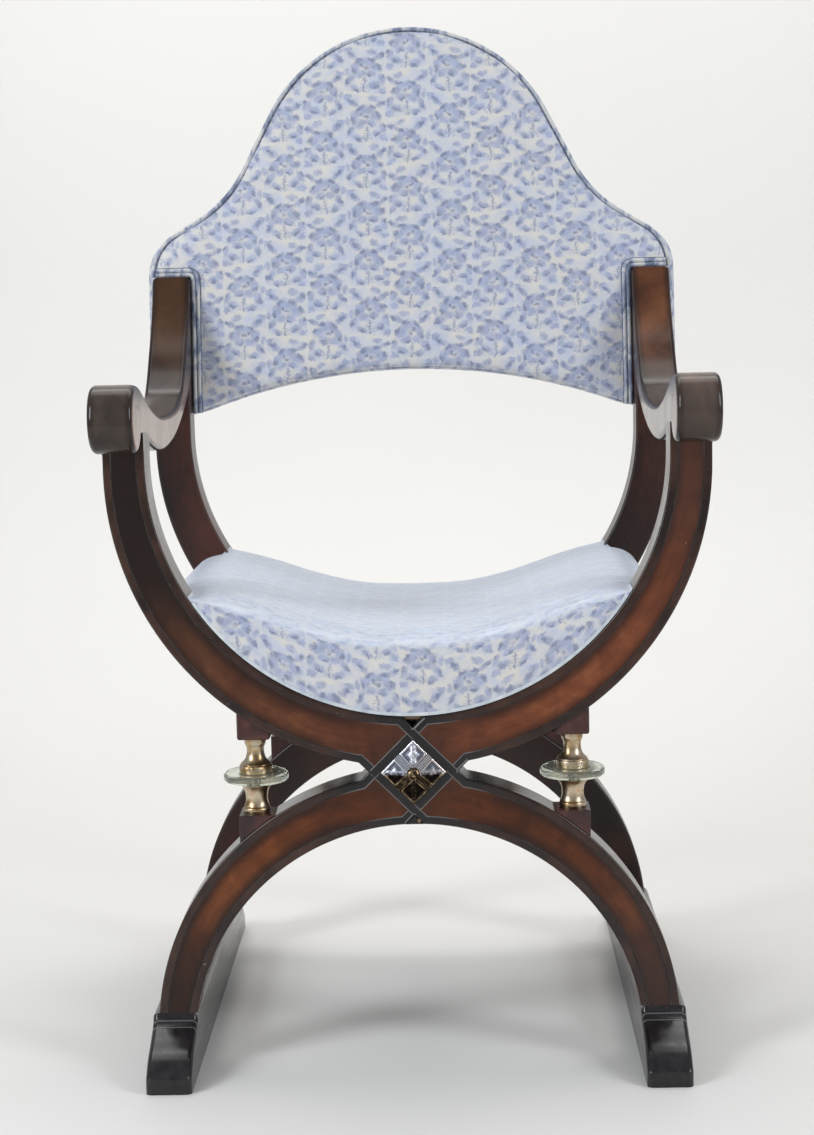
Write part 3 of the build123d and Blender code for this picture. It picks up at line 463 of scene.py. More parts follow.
def member_blank(name, sheets, front, depth):
    """Solid wood of a member from its flat strips, each face marked with its region."""
    form = bmesh.new()
    region = form.faces.layers.int.new("region")
    for points, faces, regions in sheets:
        corners = [form.verts.new((x, front, z)) for x, z in points]
        for loop, strip, stretch in faces:
            face = form.faces.new([corners[place] for place in loop])
            face[region] = regions(strip, stretch)
    blank = piece_from(name, form)
    bpy.ops.object.mode_set(mode="EDIT")
    bpy.ops.mesh.select_mode(type="FACE")
    bpy.ops.mesh.select_all(action="SELECT")
    bpy.ops.mesh.extrude_region_move(TRANSFORM_OT_translate={"value": (0, depth, 0)})
    bpy.ops.mesh.select_all(action="SELECT")
    bpy.ops.mesh.normals_make_consistent(inside=False)
    bpy.ops.object.mode_set(mode="OBJECT")
    return blank


def grain_map(piece):
    """Lays the wood's grain along the member: u runs with its length and v across, in metres."""
    layer = piece.data.uv_layers.new(name="grain")
    for polygon in piece.data.polygons:
        middle = polygon.center
        if middle.z > crossing_height + 0.03:
            centre, radius, sign = bowl_centre, 0.287, 1
        elif middle.z < crossing_height - 0.03:
            centre, radius, sign = arch_centre, 0.255, -1
        else:
            centre, radius, sign = None, 0.0, 1
        for place in polygon.loop_indices:
            spot = piece.data.vertices[piece.data.loops[place].vertex_index].co
            if centre is None:
                slant = 1 if middle.x * (middle.z - crossing_height) < 0 else -1
                along, beside = (spot.x - slant * spot.z), (spot.x + slant * spot.z)
            else:
                angle = atan2(spot.x, sign * (centre - spot.z))
                along, beside = angle * radius, hypot(spot.x, spot.z - centre)
            layer.data[place].uv = (along + 0.3 * (centre or 0), beside + spot.y)


def meet_arm(piece, front_height, back_height):
    """Slopes a member's top so that it ends inside the arm."""
    low = min(v.co.y for v in piece.data.vertices)
    deep = max(v.co.y for v in piece.data.vertices) - low
    top = max(v.co.z for v in piece.data.vertices)
    for vertex in piece.data.vertices:
        if vertex.co.z > top - 1e-4:
            part = (vertex.co.y - low) / deep
            vertex.co.z = front_height + (back_height - front_height) * part


def sharp_between(edge, top):
    """A sharp edge of a member above its runner and below this height."""
    heights = [v.co.z for v in edge.verts]
    sharp = edge.calc_face_angle(0) > radians(60)
    return sharp and min(heights) < top and max(heights) > runner_height + 0.001


hair = 1e-5  # how near a spot has to be to count as on a line


def on_edge(place):
    return min(abs(place - upper_edge), abs(place - lower_edge)) < hair


def within_edges(place):
    return lower_edge - hair < place < upper_edge + hair


def in_crossing(spot):
    """On the sides of the square where the members cross."""
    along, over = spot.x + spot.z, spot.z - spot.x
    return within_edges(along) and within_edges(over) and (on_edge(along) or on_edge(over))


plain_bands = member_lines([(0.0, None), (None, 0.0)])

dark_wood = Finish("dark_mahogany", Base_Color=(0.030, 0.012, 0.009, 1), Roughness=0.3)
fine = dark_wood.noise(dark_wood.place((9, 42, 9), source="UV"), 6, 3, 0.5)
cloud = dark_wood.noise(dark_wood.place(), 9, 3, 0.5, 0.5)
tone = dark_wood.math(
    "ADD", dark_wood.math("MULTIPLY", fine, 0.22), dark_wood.math("MULTIPLY", cloud, 0.78)
)
dark_wood.wear(
    Base_Color=dark_wood.ramp(
        tone,
        (0.36, (0.013, 0.007, 0.006)),
        (0.52, (0.030, 0.011, 0.008)),
        (0.68, (0.066, 0.020, 0.013)),
    ),
    Roughness=dark_wood.span(tone, 0.3, 0.75, 0.26, 0.36),
)
dark_wood.skin.inputs["Specular IOR Level"].default_value = 0.42

for mirrored, side in ((False, "left"), (True, "right")):
    sheets = member_sheets(plain_bands, mirrored, lambda strip, stretch: 0)
    member = member_blank(f"rear_{side}_member", sheets, frame_back - member_depth, member_depth)
    meet_arm(member, front_height=0.702, back_height=0.740)
    ease_edges(
        member,
        0.0028,
        3,
        lambda edge: sharp_between(edge, member_top)
        and round(edge.verts[0].co.y, 4) == round(edge.verts[1].co.y, 4)
        and not (mirrored and all(in_crossing(v.co) for v in edge.verts)),
    )
    grain_map(member)
    settle(member)
    member.data.materials.append(dark_wood.material)
    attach(member, "root")
    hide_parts(f"rear_scissor_{side}")


# ---------------------------------------------------------------- front frame
# Two curved mahogany members like the rear ones, their fronts polished and figured, with a
# black lacquered band along each edge.  Scribed lines part the bands from the figured wood,
# and where the members cross the bands pass over and under each other like laced straps.
band = 0.0085
line_half, line_deep = 0.00055, 0.0006
seen_below = 0.64  # the arms hide the members' wood above this height
banded = member_lines([(0.0, None), (band, None), (None, band), (None, 0.0)])


def laced_left(strip, stretch):
    """Numbers the bands and fields of the left member's front, the whole square included."""
    if strip == 0:
        return 1
    crossing = {
        (1, "upper"): 2,
        (1, "square0"): 3,
        (1, "square1"): 4,
        (1, "square2"): 5,
        (1, "lower"): 6,
        (2, "upper"): 7,
        (2, "square0"): 3,
    }
    return crossing.get((strip, stretch), 8)


def laced_right(strip, stretch):
    """The right member's front, above and below the square."""
    return 1 + strip + (3 if stretch == "lower" else 0)


black_regions = {"left": (1, 3, 5, 7, 8), "right": (1, 3, 4, 6)}

figured = Finish("front_mahogany", Base_Color=(0.07, 0.022, 0.009, 1), Roughness=0.26)


def from_crossing(finish, x, z):
    """How far a spot is from the crossing's middle, its way sideways and its way up added."""
    return finish.math("ADD", finish.math("ABSOLUTE", x), finish.gap(z, crossing_height))


field_x, _, field_z = figured.split(figured.place())
rings = []
# Each round the middle line of the bowl's or the arch's wood: centre, radius and half width.
for centre, middle, half in ((0.6298, 0.2868, 0.0155), (0.0325, 0.2515, 0.0135)):
    reach = figured.reach(field_x, figured.math("SUBTRACT", field_z, centre))
    rings.append(figured.math("DIVIDE", figured.gap(reach, middle), half))
beside_middle = figured.math("MINIMUM", *rings)
figured_grain = figured.noise(figured.place((8, 46, 8), source="UV"), 5, 4, 0.55, 0.3)
mottle = figured.noise(figured.place(), 26, 4, 0.55, 0.9)
broad = figured.noise(figured.place(), 7.5, 2, 0.5)
clouds = figured.math(
    "ADD", figured.math("MULTIPLY", mottle, 0.36), figured.math("MULTIPLY", broad, 0.48)
)
figured_tone = figured.math("ADD", figured.math("MULTIPLY", figured_grain, 0.16), clouds)


def wood_tones(dark, middle, light):
    return figured.ramp(figured_tone, (0.36, dark), (0.52, middle), (0.66, light))


right_hand = figured.span(field_x, -0.16, 0.22)
up_high = figured.span(field_z, 0.36, 0.53, smooth=True)
glow = figured.mix(
    right_hand,
    wood_tones((0.042, 0.013, 0.007), (0.098, 0.032, 0.015), (0.170, 0.064, 0.028)),
    wood_tones((0.088, 0.026, 0.013), (0.195, 0.056, 0.023), (0.340, 0.115, 0.045)),
)
arch_glow = wood_tones((0.040, 0.011, 0.004), (0.105, 0.028, 0.008), (0.215, 0.062, 0.017))
glow = figured.mix(figured.span(field_z, 0.34, 0.28), glow, arch_glow)
from_boss = from_crossing(figured, field_x, field_z)
shade = figured.math("MULTIPLY", figured.span(beside_middle, 0.30, 1.05, smooth=True), 0.80)
shade = figured.math("MULTIPLY", shade, figured.span(from_boss, 0.07, 0.14, 0.20, 1.0))
glow = figured.mix(shade, glow, (0.022, 0.009, 0.006))
# The field is darker towards the top, towards the foot and round the rosette.
darker_zones = figured.math("MULTIPLY", up_high, figured.span(right_hand, 0.0, 1.0, 0.95, 0.25))
darker_zones = figured.math("MAXIMUM", darker_zones, figured.span(field_z, 0.46, 0.60, 0.0, 0.72, smooth=True))
near_foot = figured.span(field_z, 0.245, 0.080, 0.0, 0.85, smooth=True)
near_rosette = figured.span(from_boss, 0.090, 0.050, 0.0, 0.35, smooth=True)
darker_zones = figured.math("MAXIMUM", figured.math("MAXIMUM", darker_zones, near_foot), near_rosette)
darker_zone_colour = figured.mix(right_hand, (0.015, 0.010, 0.0085), (0.036, 0.022, 0.019))
glow = figured.mix(darker_zones, glow, darker_zone_colour)
nick = figured.noise(figured.place(), 95, 2, 0.5)
nick = figured.span(nick, 0.775, 0.80, 0.0, 0.6)
figured.wear(
    Base_Color=figured.mix(nick, glow, (0.36, 0.27, 0.20)),
    Roughness=figured.span(figured_tone, 0.3, 0.75, 0.20, 0.30),
)

edge_black = Finish("black_band", Base_Color=(0.018, 0.012, 0.011, 1), Roughness=0.22)
band_x, _, band_z = edge_black.split(edge_black.place())
rub = edge_black.noise(edge_black.place(), 190, 4, 0.6)
rub_where = edge_black.noise(edge_black.place(), 14, 2, 0.5)
rub_where = edge_black.span(rub_where, 0.54, 0.64)
rubbed = edge_black.math("MULTIPLY", edge_black.span(rub, 0.66, 0.72), rub_where, clamp=True)
edge_tone = edge_black.noise(edge_black.place((12, 12, 12)), 2, 3, 0.55)
away = edge_black.span(from_crossing(edge_black, band_x, band_z), 0.065, 0.13, smooth=True)
band_brown = edge_black.ramp(
    edge_tone, (0.35, (0.017, 0.0095, 0.0075)), (0.68, (0.052, 0.023, 0.015))
)
band_black = edge_black.ramp(
    edge_tone, (0.35, (0.010, 0.009, 0.009)), (0.68, (0.019, 0.016, 0.016))
)
band_colour = edge_black.mix(away, band_black, band_brown)
edge_black.wear(
    Base_Color=edge_black.mix(
        edge_black.math("MULTIPLY", rubbed, 0.7), band_colour, (0.36, 0.31, 0.27)
    ),
    Roughness=edge_black.span(edge_tone, 0.3, 0.7, 0.18, 0.28),
)
# The scribed lines are near black, painted pale towards the crossing and in patches along them: a
# painted highlight on the groove walls.
scribed = Finish("scribed_line", Base_Color=(0.03, 0.02, 0.018, 1), Roughness=0.5)
line_x, _, line_z = scribed.split(scribed.place())
line_reach = from_crossing(scribed, line_x, line_z)
line_highlight_noise = scribed.noise(scribed.place(), 60, 3, 0.6)
line_highlight = scribed.math(
    "ADD",
    scribed.span(line_reach, 0.105, 0.075, 0.05, 0.50),
    scribed.span(line_highlight_noise, 0.40, 0.70, 0.0, 0.14),
    clamp=True,
)
scribed.wear(Base_Color=scribed.mix(line_highlight, (0.010, 0.007, 0.006), (0.30, 0.28, 0.275)))
figured.skin.inputs["Specular IOR Level"].default_value = 0.25
edge_black.skin.inputs["Specular IOR Level"].default_value = 0.40


def on_seam(spot):
    """On the lines where the crossing's wood meets the right member's."""
    return on_edge(spot.x + spot.z) and within_edges(spot.z - spot.x)


def on_front(face):
    """A flat face of the member's front."""
    return face.normal.y < -0.999 and face.calc_center_median().y < frame_front + 1e-4


def bare_of_line(spot, mirrored):
    """On the stretch of a seam where one band runs on into the other without a line."""
    if mirrored:
        return on_seam(spot) and spot.x < 0 and 0.304 - 1e-4 < spot.z < crossing_height + 1e-4
    along, over = spot.x + spot.z, spot.z - spot.x
    return abs(along - lower_edge) < hair and over > upper_edge - band * sqrt(2) + hair


for mirrored, side, lacing in ((False, "left", laced_left), (True, "right", laced_right)):
    sheets = member_sheets(banded, mirrored, lacing)
    member = member_blank(f"front_{side}_member", sheets, frame_front, member_depth)
    meet_arm(member, front_height=0.676, back_height=0.668)
    front_y = round(frame_front, 4)
    ease_edges(
        member,
        0.0022,
        4,
        lambda edge: sharp_between(edge, seen_below)
        and all(round(v.co.y, 4) == front_y for v in edge.verts)
        and not all(on_seam(v.co) for v in edge.verts),
    )
    ease_edges(
        member,
        0.0012,
        2,
        lambda edge: sharp_between(edge, seen_below)
        and all(v.co.y > frame_front + 0.02 for v in edge.verts)
        and not all(on_seam(v.co) for v in edge.verts),
    )
    # The scribed lines: each patch of the front is inset, and the line between two is sunk.
    bpy.ops.object.mode_set(mode="EDIT")
    form = bmesh.from_edit_mesh(member.data)
    region = form.faces.layers.int["region"]
    flat = [face for face in form.faces if on_front(face)]
    sunk = form.verts.layers.int.new("sunk")
    for face in flat:
        for vertex in face.verts:
            around = {other[region] for other in vertex.link_faces if other in flat}
            if len(around) > 1 or on_seam(vertex.co):
                vertex[sunk] = 1
    for vertex in form.verts:
        if bare_of_line(vertex.co, mirrored):
            vertex[sunk] = 0
    bpy.ops.mesh.select_mode(type="FACE")
    for patch in sorted({face[region] for face in flat}):
        form = bmesh.from_edit_mesh(member.data)
        region = form.faces.layers.int["region"]
        bpy.ops.mesh.select_all(action="DESELECT")
        for face in form.faces:
            face.select_set(on_front(face) and face[region] == patch)
        bmesh.update_edit_mesh(member.data)
        bpy.ops.mesh.inset(thickness=line_half, depth=0)
        form = bmesh.from_edit_mesh(member.data)
        sunk = form.verts.layers.int["sunk"]
        for face in form.faces:
            if face.select:
                for vertex in face.verts:
                    vertex[sunk] = 0
    form = bmesh.from_edit_mesh(member.data)
    sunk = form.verts.layers.int["sunk"]
    for vertex in form.verts:
        if vertex[sunk] == 1 and abs(vertex.co.y - frame_front) < hair:
            touching = [face for face in vertex.link_faces if abs(face.normal.y) > 0.999]
            if len(touching) == len(vertex.link_faces) or on_seam(vertex.co):
                vertex.co.y += line_deep
    bmesh.update_edit_mesh(member.data)
    bpy.ops.object.mode_set(mode="OBJECT")
    grain_map(member)
    for finish in (figured, edge_black, scribed):
        member.data.materials.append(finish.material)
    patches = member.data.attributes["region"].data
    sunken = member.data.attributes["sunk"].data
    for polygon in member.data.polygons:
        front_facing = polygon.center.y < frame_front + line_deep and polygon.normal.y < -0.6
        is_black = patches[polygon.index].value in black_regions[side] or not front_facing
        in_line = front_facing and any(
            sunken[place].value == 1 and member.data.vertices[place].co.y > frame_front + 0.0004
            for place in polygon.vertices
        )
        polygon.material_index = 2 if in_line else 1 if is_black else 0
    settle(member, 40.0)
    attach(member, "root")
    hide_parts(f"front_scissor_{side}")


# ---------------------------------------------------------------- crossing
# A black fillet of wood fills the notch under the crossing, with a copper pin driven into it,
# and a turned gilt boss is fixed over the crossing's middle.
fillet_tip, fillet_radius = 0.2668, arch_inner_radius + 0.0001
fillet_front, fillet_back = frame_front + 0.0006, frame_front + 0.044
fillet_line = [(0.0, fillet_tip)]
for step in range(9):
    angle = radians(87.8 + 4.4 * step / 8)
    fillet_line.append((
        fillet_radius * cos(angle),
        arch_inner_centre + fillet_radius * sin(angle),
    ))
crossing_fillet = closed_outline("crossing_fillet", fillet_line, "Y", fillet_front, fillet_back)
settle(crossing_fillet)
crossing_fillet.data.materials.append(edge_black.material)
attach(crossing_fillet, "root")

copper = Finish("copper_gilt", Base_Color=(0.42, 0.22, 0.12, 1), Metallic=1.0, Roughness=0.3)
copper_cloud = copper.noise(copper.place(), 260, 4, 0.6)
copper.wear(
    Base_Color=copper.ramp(
        copper_cloud, (0.36, (0.13, 0.065, 0.035)), (0.5, (0.40, 0.22, 0.12)),
        (0.66, (0.74, 0.52, 0.30))
    ),
    Roughness=copper.span(copper_cloud, 0.3, 0.7, 0.38, 0.22),
    Normal=copper.bump(copper_cloud, 0.25, 0.0006),
)
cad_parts["crossing_pin"].data.materials[0] = copper.material
gilt = Finish("worn_gilt", Base_Color=(0.30, 0.21, 0.11, 1), Metallic=1.0, Roughness=0.3)
gilt_spot = gilt.noise(gilt.place(), 330, 3, 0.55)
gilt.wear(
    Base_Color=gilt.ramp(
        gilt_spot, (0.42, (0.014, 0.010, 0.008)), (0.54, (0.16, 0.11, 0.060)),
        (0.66, (0.48, 0.38, 0.25))
    ),
    Roughness=gilt.span(gilt_spot, 0.35, 0.6, 0.45, 0.24),
    Normal=gilt.bump(gilt_spot, 0.5, 0.0008),
)
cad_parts["rosette_boss"].data.materials[0] = gilt.material


# ---------------------------------------------------------------- rosette
# A cast ornament of silvered metal, a low pyramid on its corner: four framed leaf panels at
# its corners, triple ribs between them, and a flat ledge in the middle for the boss.
rosette_half, rosette_base, rosette_top = 0.034 / sqrt(2), 0.0025, 0.0108
ledge_half, rib_half, panel_frame = 0.0050, 0.0030, 0.0031
leaf_start, leaf_long, leaf_wide = 0.0090, 0.0205, 0.0070
bpy.ops.mesh.primitive_grid_add(x_subdivisions=150, y_subdivisions=150, size=2 * rosette_half)
rosette = bpy.context.object
rosette.name = "rosette_panels"
relief = rosette.data.attributes.new("relief", "FLOAT", "POINT")


def rosette_form(p, q):
    """Height of the cast relief, and how raised the spot is in it, from the two side lines."""
    reach = max(abs(p), abs(q))
    edge = rosette_half - reach
    rib = min(abs(p), abs(q))
    slope = min(1.0, edge / (rosette_half - 0.0035))
    height = rosette_base + (rosette_top - 0.0012 - rosette_base) * slope
    if reach < ledge_half:
        return height, 0.35
    if rib < rib_half:
        wave = 0.5 + 0.5 * cos(rib / 0.0020 * 2 * pi)
        return height + 0.0002 + 0.0008 * wave, 0.05 + 0.85 * wave
    deep = min(edge, (rib - rib_half) * 1.25)
    if deep < panel_frame:
        rise = min(1.0, deep / 0.0006, (panel_frame - deep) / 0.0008)
        return height + 0.0013 * rise, 0.18 + 0.82 * min(1.0, rise * 1.4)
    # The leaf: it grows from the middle out to the corner, with lobes on both sides.
    along = (abs(p) + abs(q)) / sqrt(2)
    beside = abs(abs(p) - abs(q)) / sqrt(2)
    part = (along - leaf_start) / leaf_long
    hollow = min(1.0, (deep - panel_frame) / 0.0010)
    if not 0.0 < part < 1.0:
        return height - 0.0008 * hollow, 0.10
    lobes = 0.82 + 0.18 * cos(part * 2 * pi * 2.5 - 0.9)
    width = leaf_wide * sin(pi * min(1.0, part * 0.9 + 0.08)) ** 0.7 * lobes
    if beside > width:
        return height - 0.0008 * hollow, 0.08
    full = 1 - (beside / width) ** 2
    vein = 1.0 - 0.55 * max(0.0, 1 - beside / 0.0007)
    ridge = 0.72 + 0.28 * cos((part * 5.0 - beside / 0.004) * 2 * pi)
    return height - 0.0008 + 0.0016 * full**0.7 * vein, 0.16 + 0.50 * full * vein * ridge


raised = []
for vertex in rosette.data.vertices:
    p, q = vertex.co.x, vertex.co.y
    height, lift = rosette_form(p, q)
    raised.append(lift)
    vertex.co = ((p - q) / sqrt(2), frame_front - height, crossing_height + (p + q) / sqrt(2))
relief.data.foreach_set("value", raised)
pick_edges(rosette, lambda edge: edge.is_boundary)
bpy.ops.mesh.extrude_edges_move(TRANSFORM_OT_translate={"value": (0, 0, 0)})
form = bmesh.from_edit_mesh(rosette.data)
for vertex in form.verts:
    if vertex.select:
        vertex.co.y = frame_front - 0.0001
bmesh.update_edit_mesh(rosette.data)
bpy.ops.mesh.select_all(action="SELECT")
bpy.ops.mesh.normals_make_consistent(inside=False)
bpy.ops.object.mode_set(mode="OBJECT")
settle(rosette, 60.0, False)

silver = Finish("silvered_metal", Metallic=1.0, Roughness=0.25)
lift = silver.add("Attribute", output=2, attribute_name="relief")
silver_cloud = silver.noise(silver.place(), 240, 3, 0.6)
silver_x, _, silver_z = silver.split(silver.add("TexCoord", output=3))
# The lower half is painted dark bronze with its hollows near black, and the upper half bright
# silver: a painted reflection, the upward faces catching the light above and the downward faces the
# dark floor.
drifted = silver.math("MULTIPLY_ADD", silver_cloud, 0.008, silver_z)
lower_half = silver.span(drifted, crossing_height + 0.0045, crossing_height + 0.0015)
pinkish = silver.span(silver_x, -0.012, 0.022)
bright = silver.mix(pinkish, (0.74, 0.75, 0.80), (0.82, 0.73, 0.68))
lower_faces_reflection = silver.span(silver_cloud, 0.44, 0.60)
lower_faces_reflection = silver.mix(lower_faces_reflection, (0.075, 0.054, 0.032), (0.30, 0.22, 0.130))
bright = silver.mix(lower_half, bright, lower_faces_reflection)
dull = silver.mix(lower_half, (0.17, 0.18, 0.22), (0.012, 0.009, 0.007))
worn_lift = silver.math("ADD", lift, silver.span(silver_cloud, 0.3, 0.7, -0.14, 0.14))
low_bound = silver.math("MULTIPLY_ADD", lower_half, 0.30, 0.14)
silver.wear(
    Base_Color=silver.mix(silver.span(worn_lift, low_bound, 0.92, smooth=True), dull, bright),
    Roughness=silver.span(worn_lift, 0.0, 1.0, 0.50, 0.24),
    Normal=silver.bump(silver_cloud, 0.12, 0.0004),
)
rosette.data.materials.append(silver.material)
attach(rosette, "root")
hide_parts("front_rosette")


# ---------------------------------------------------------------- spindle blocks
# Eight small mahogany blocks, sawn to fit the bowl above and the arch below and glued there.
# A turned spindle stands between each pair.
spindle_offset, block_half, block_depth = 0.1635, 0.017, 0.041
upper_foot, lower_top = 0.3480, 0.2690

block_wood = Finish("block_mahogany", Base_Color=(0.06, 0.015, 0.011, 1), Roughness=0.33)
block_cloud = block_wood.noise(block_wood.place(), 30, 3, 0.5, 0.5)
block_grain = block_wood.noise(block_wood.place((90, 90, 12)), 1.0, 3, 0.5)
block_tone = block_wood.math(
    "ADD",
    block_wood.math("MULTIPLY", block_cloud, 0.8),
    block_wood.math("MULTIPLY", block_grain, 0.2),
)
block_wood.wear(
    Base_Color=block_wood.ramp(
        block_tone,
        (0.36, (0.020, 0.008, 0.009)),
        (0.52, (0.050, 0.016, 0.014)),
        (0.68, (0.105, 0.032, 0.024)),
    ),
    Roughness=block_wood.span(block_grain, 0.3, 0.7, 0.24, 0.36),
)


def bowl_line(x):
    return bowl_centre - sqrt((bowl_radius + 0.0001) ** 2 - x * x)


def arch_line(x):
    return arch_centre + sqrt((arch_radius + 0.0001) ** 2 - x * x)


steps = [spindle_offset - block_half + 2 * block_half * step / 8 for step in range(9)]
upper_line = [(x, bowl_line(x)) for x in steps] + [(steps[-1], upper_foot), (steps[0], upper_foot)]
fall = [x for x in steps if arch_line(x) < lower_top - 0.0005]
lower_line = (
    [(x, arch_line(x)) for x in fall] + [(fall[-1], lower_top), (fall[0] - 0.004, lower_top)]
)
blocks = {}
start = frame_front + member_depth / 2 - block_depth / 2
for name, line, seat_line in (
    ("upper", upper_line, bowl_line),
    ("lower", lower_line, arch_line),
):
    block = closed_outline(f"front_right_{name}_wood", line, "Y", start, start + block_depth)
    ease_edges(
        block,
        0.0026,
        4,
        lambda edge: edge.calc_face_angle(0) > radians(50)
        and not all(abs(v.co.z - seat_line(v.co.x)) < 1e-6 for v in edge.verts),
    )
    settle(block)
    block.data.materials.append(block_wood.material)
    blocks[name] = block

to_rear = frame_back - member_depth - frame_front
four_places = [
    (frame_name, side, back, flip)
    for frame_name, back in (("front", 0.0), ("rear", to_rear))
    for side, flip in (("right", 1), ("left", -1))
]


def set_in_place(pattern, name, back, flip):
    """The pattern itself at the front right, or its copy for one of the other places."""
    if back == 0.0 and flip == 1:
        return pattern
    piece = bpy.data.objects.new(name, pattern.data.copy())
    bpy.context.scene.collection.objects.link(piece)
    piece.data.transform(Matrix.Translation((0, back, 0)) @ Matrix.Diagonal((flip, 1, 1, 1)))
    if flip < 0:
        piece.data.flip_normals()
    return piece


for frame_name, side, back, flip in four_places:
    for name, pattern in blocks.items():
        block = set_in_place(pattern, f"{frame_name}_{side}_{name}_wood", back, flip)
        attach(block, "root")
        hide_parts(f"{frame_name}_{side}_{name}_block")


# ---------------------------------------------------------------- spindles
# Turned brass, a bell above and a cup below, rubbed to copper in places.  A bevelled disc of
# clear glass is clamped between them by the steel rod inside.
brass = Finish("aged_brass", Base_Color=(0.45, 0.33, 0.19, 1), Metallic=1.0, Roughness=0.26)
brass_cloud = brass.noise(brass.place(), 60, 3, 0.6, 0.6)
brass_speck = brass.noise(brass.place(), 420, 4, 0.65)
turning_line = brass.noise(brass.place((6, 6, 900)), 1.0, 2, 0.6)
brass_tone = brass.math(
    "ADD", brass.math("MULTIPLY", brass_cloud, 0.90), brass.math("MULTIPLY", brass_speck, 0.10)
)
brass.wear(
    Base_Color=brass.ramp(
        brass_tone,
        (0.34, (0.29, 0.19, 0.095)),
        (0.46, (0.47, 0.34, 0.19)),
        (0.56, (0.60, 0.52, 0.39)),
        (0.70, (0.53, 0.33, 0.20)),
    ),
    Roughness=brass.span(brass_speck, 0.35, 0.7, 0.28, 0.38),
    Normal=brass.bump(turning_line, 0.08, 0.0003),
)
glass = Finish("clear_glass", Base_Color=(0.86, 0.90, 0.80, 1), Roughness=0.06, IOR=1.45)
glass.skin.inputs["Transmission Weight"].default_value = 0.9
glass_smear = glass.noise(glass.place(), 60, 3, 0.6)
glass.wear(
    Base_Color=glass.ramp(glass_smear, (0.35, (0.80, 0.86, 0.71)), (0.65, (0.90, 0.94, 0.83))),
    Roughness=glass.span(glass_smear, 0.4, 0.75, 0.04, 0.12),
)
steel = Finish("screw_steel", Base_Color=(0.36, 0.35, 0.34, 1), Metallic=1.0, Roughness=0.38)
steel_cloud = steel.noise(steel.place(), 140, 3, 0.6)
steel.wear(
    Base_Color=steel.ramp(steel_cloud, (0.35, (0.16, 0.15, 0.14)), (0.65, (0.46, 0.45, 0.44)))
)
# The turned outlines, as radius and height in millimetres.
bell_profile = [
    (3.2, 348.0), (10.8, 348.0), (11.1, 346.8), (11.2, 343.0), (10.9, 341.2), (9.9, 339.4),
    (9.1, 336.8),
    (8.9, 333.4), (9.3, 330.0), (10.3, 326.6), (12.2, 323.6), (14.6, 321.4), (15.8, 320.5),
    (15.9, 319.9),
    (15.5, 319.4), (16.4, 318.9), (16.9, 318.0), (16.9, 313.0), (16.6, 311.5), (3.2, 311.5),
]
cup_profile = [
    (3.2, 302.5), (18.2, 302.5), (18.2, 301.2), (17.4, 299.0), (15.2, 296.6), (13.2, 294.0),
    (11.9, 290.5),
    (11.3, 286.5), (11.2, 282.5), (11.8, 279.0), (12.9, 276.6), (13.3, 276.0), (13.2, 275.4),
    (12.8, 275.0),
    (13.6, 274.4), (14.0, 273.4), (13.9, 271.0), (13.4, 269.0), (3.2, 269.0),
]
turnings = {}
axis = (spindle_offset, frame_front + member_depth / 2, 0.0)
for part, profile in (("bell", bell_profile), ("cup", cup_profile)):
    form = bmesh.new()
    ring = [
        form.verts.new((axis[0] + radius / 1000, axis[1], height / 1000))
        for radius, height in profile
    ]
    for first, second in zip(ring, ring[1:] + ring[:1]):
        form.edges.new((first, second))
    turning = piece_from(f"front_right_turned_{part}", form)
    bpy.ops.object.mode_set(mode="EDIT")
    bpy.ops.mesh.select_all(action="SELECT")
    bpy.ops.mesh.spin(steps=64, angle=2 * pi, center=axis, axis=(0, 0, 1))
    bpy.ops.mesh.select_all(action="SELECT")
    bpy.ops.mesh.remove_doubles(threshold=0.00002)
    bpy.ops.mesh.normals_make_consistent(inside=False)
    bpy.ops.object.mode_set(mode="OBJECT")
    settle(turning, 38.0)
    turning.data.materials.append(brass.material)
    turnings[part] = turning
for frame_name, side, back, flip in four_places:
    place = f"{frame_name}_{side}"
    for part, pattern in turnings.items():
        turning = set_in_place(pattern, f"{place}_turned_{part}", back, flip)
        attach(turning, "root")
        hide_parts(f"{place}_brass_{part}")
    for part, finish in (("glass_disc", glass), ("spindle_rod", steel)):
        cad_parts[f"{place}_{part}"].data.materials[0] = finish.material
for node in ("crossing_bolts", "seat_screws", "back_screws"):
    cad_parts[node].data.materials[0] = steel.material


# ---------------------------------------------------------------- stretcher and cap
# A square rail on its edge, stained dark, joins the two crossings, and a turned mahogany cap
# hides the bolt at the back.  The dowels and the hidden boards are of plain wood.
plain_wood = Finish("plain_wood", Base_Color=(0.30, 0.19, 0.11, 1), Roughness=0.6)
plain_grain = plain_wood.noise(plain_wood.place((60, 5, 60)), 2.0, 5, 0.6, 0.4)
plain_wood.wear(
    Base_Color=plain_wood.ramp(
        plain_grain, (0.32, (0.20, 0.115, 0.060)), (0.68, (0.40, 0.27, 0.16))
    ),
    Roughness=plain_wood.span(plain_grain, 0.3, 0.7, 0.5, 0.68),
    Normal=plain_wood.bump(plain_grain, 0.2, 0.0005),
)
for node in ("arm_dowels", "seat_board", "back_board"):
    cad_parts[node].data.materials[0] = plain_wood.material
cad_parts["centre_stretcher"].data.materials[0] = dark_wood.material
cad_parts["rear_bolt_cap"].data.materials[0] = block_wood.material
for side in ("left", "right"):
    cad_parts[f"{side}_arm_block"].data.materials[0] = dark_wood.material


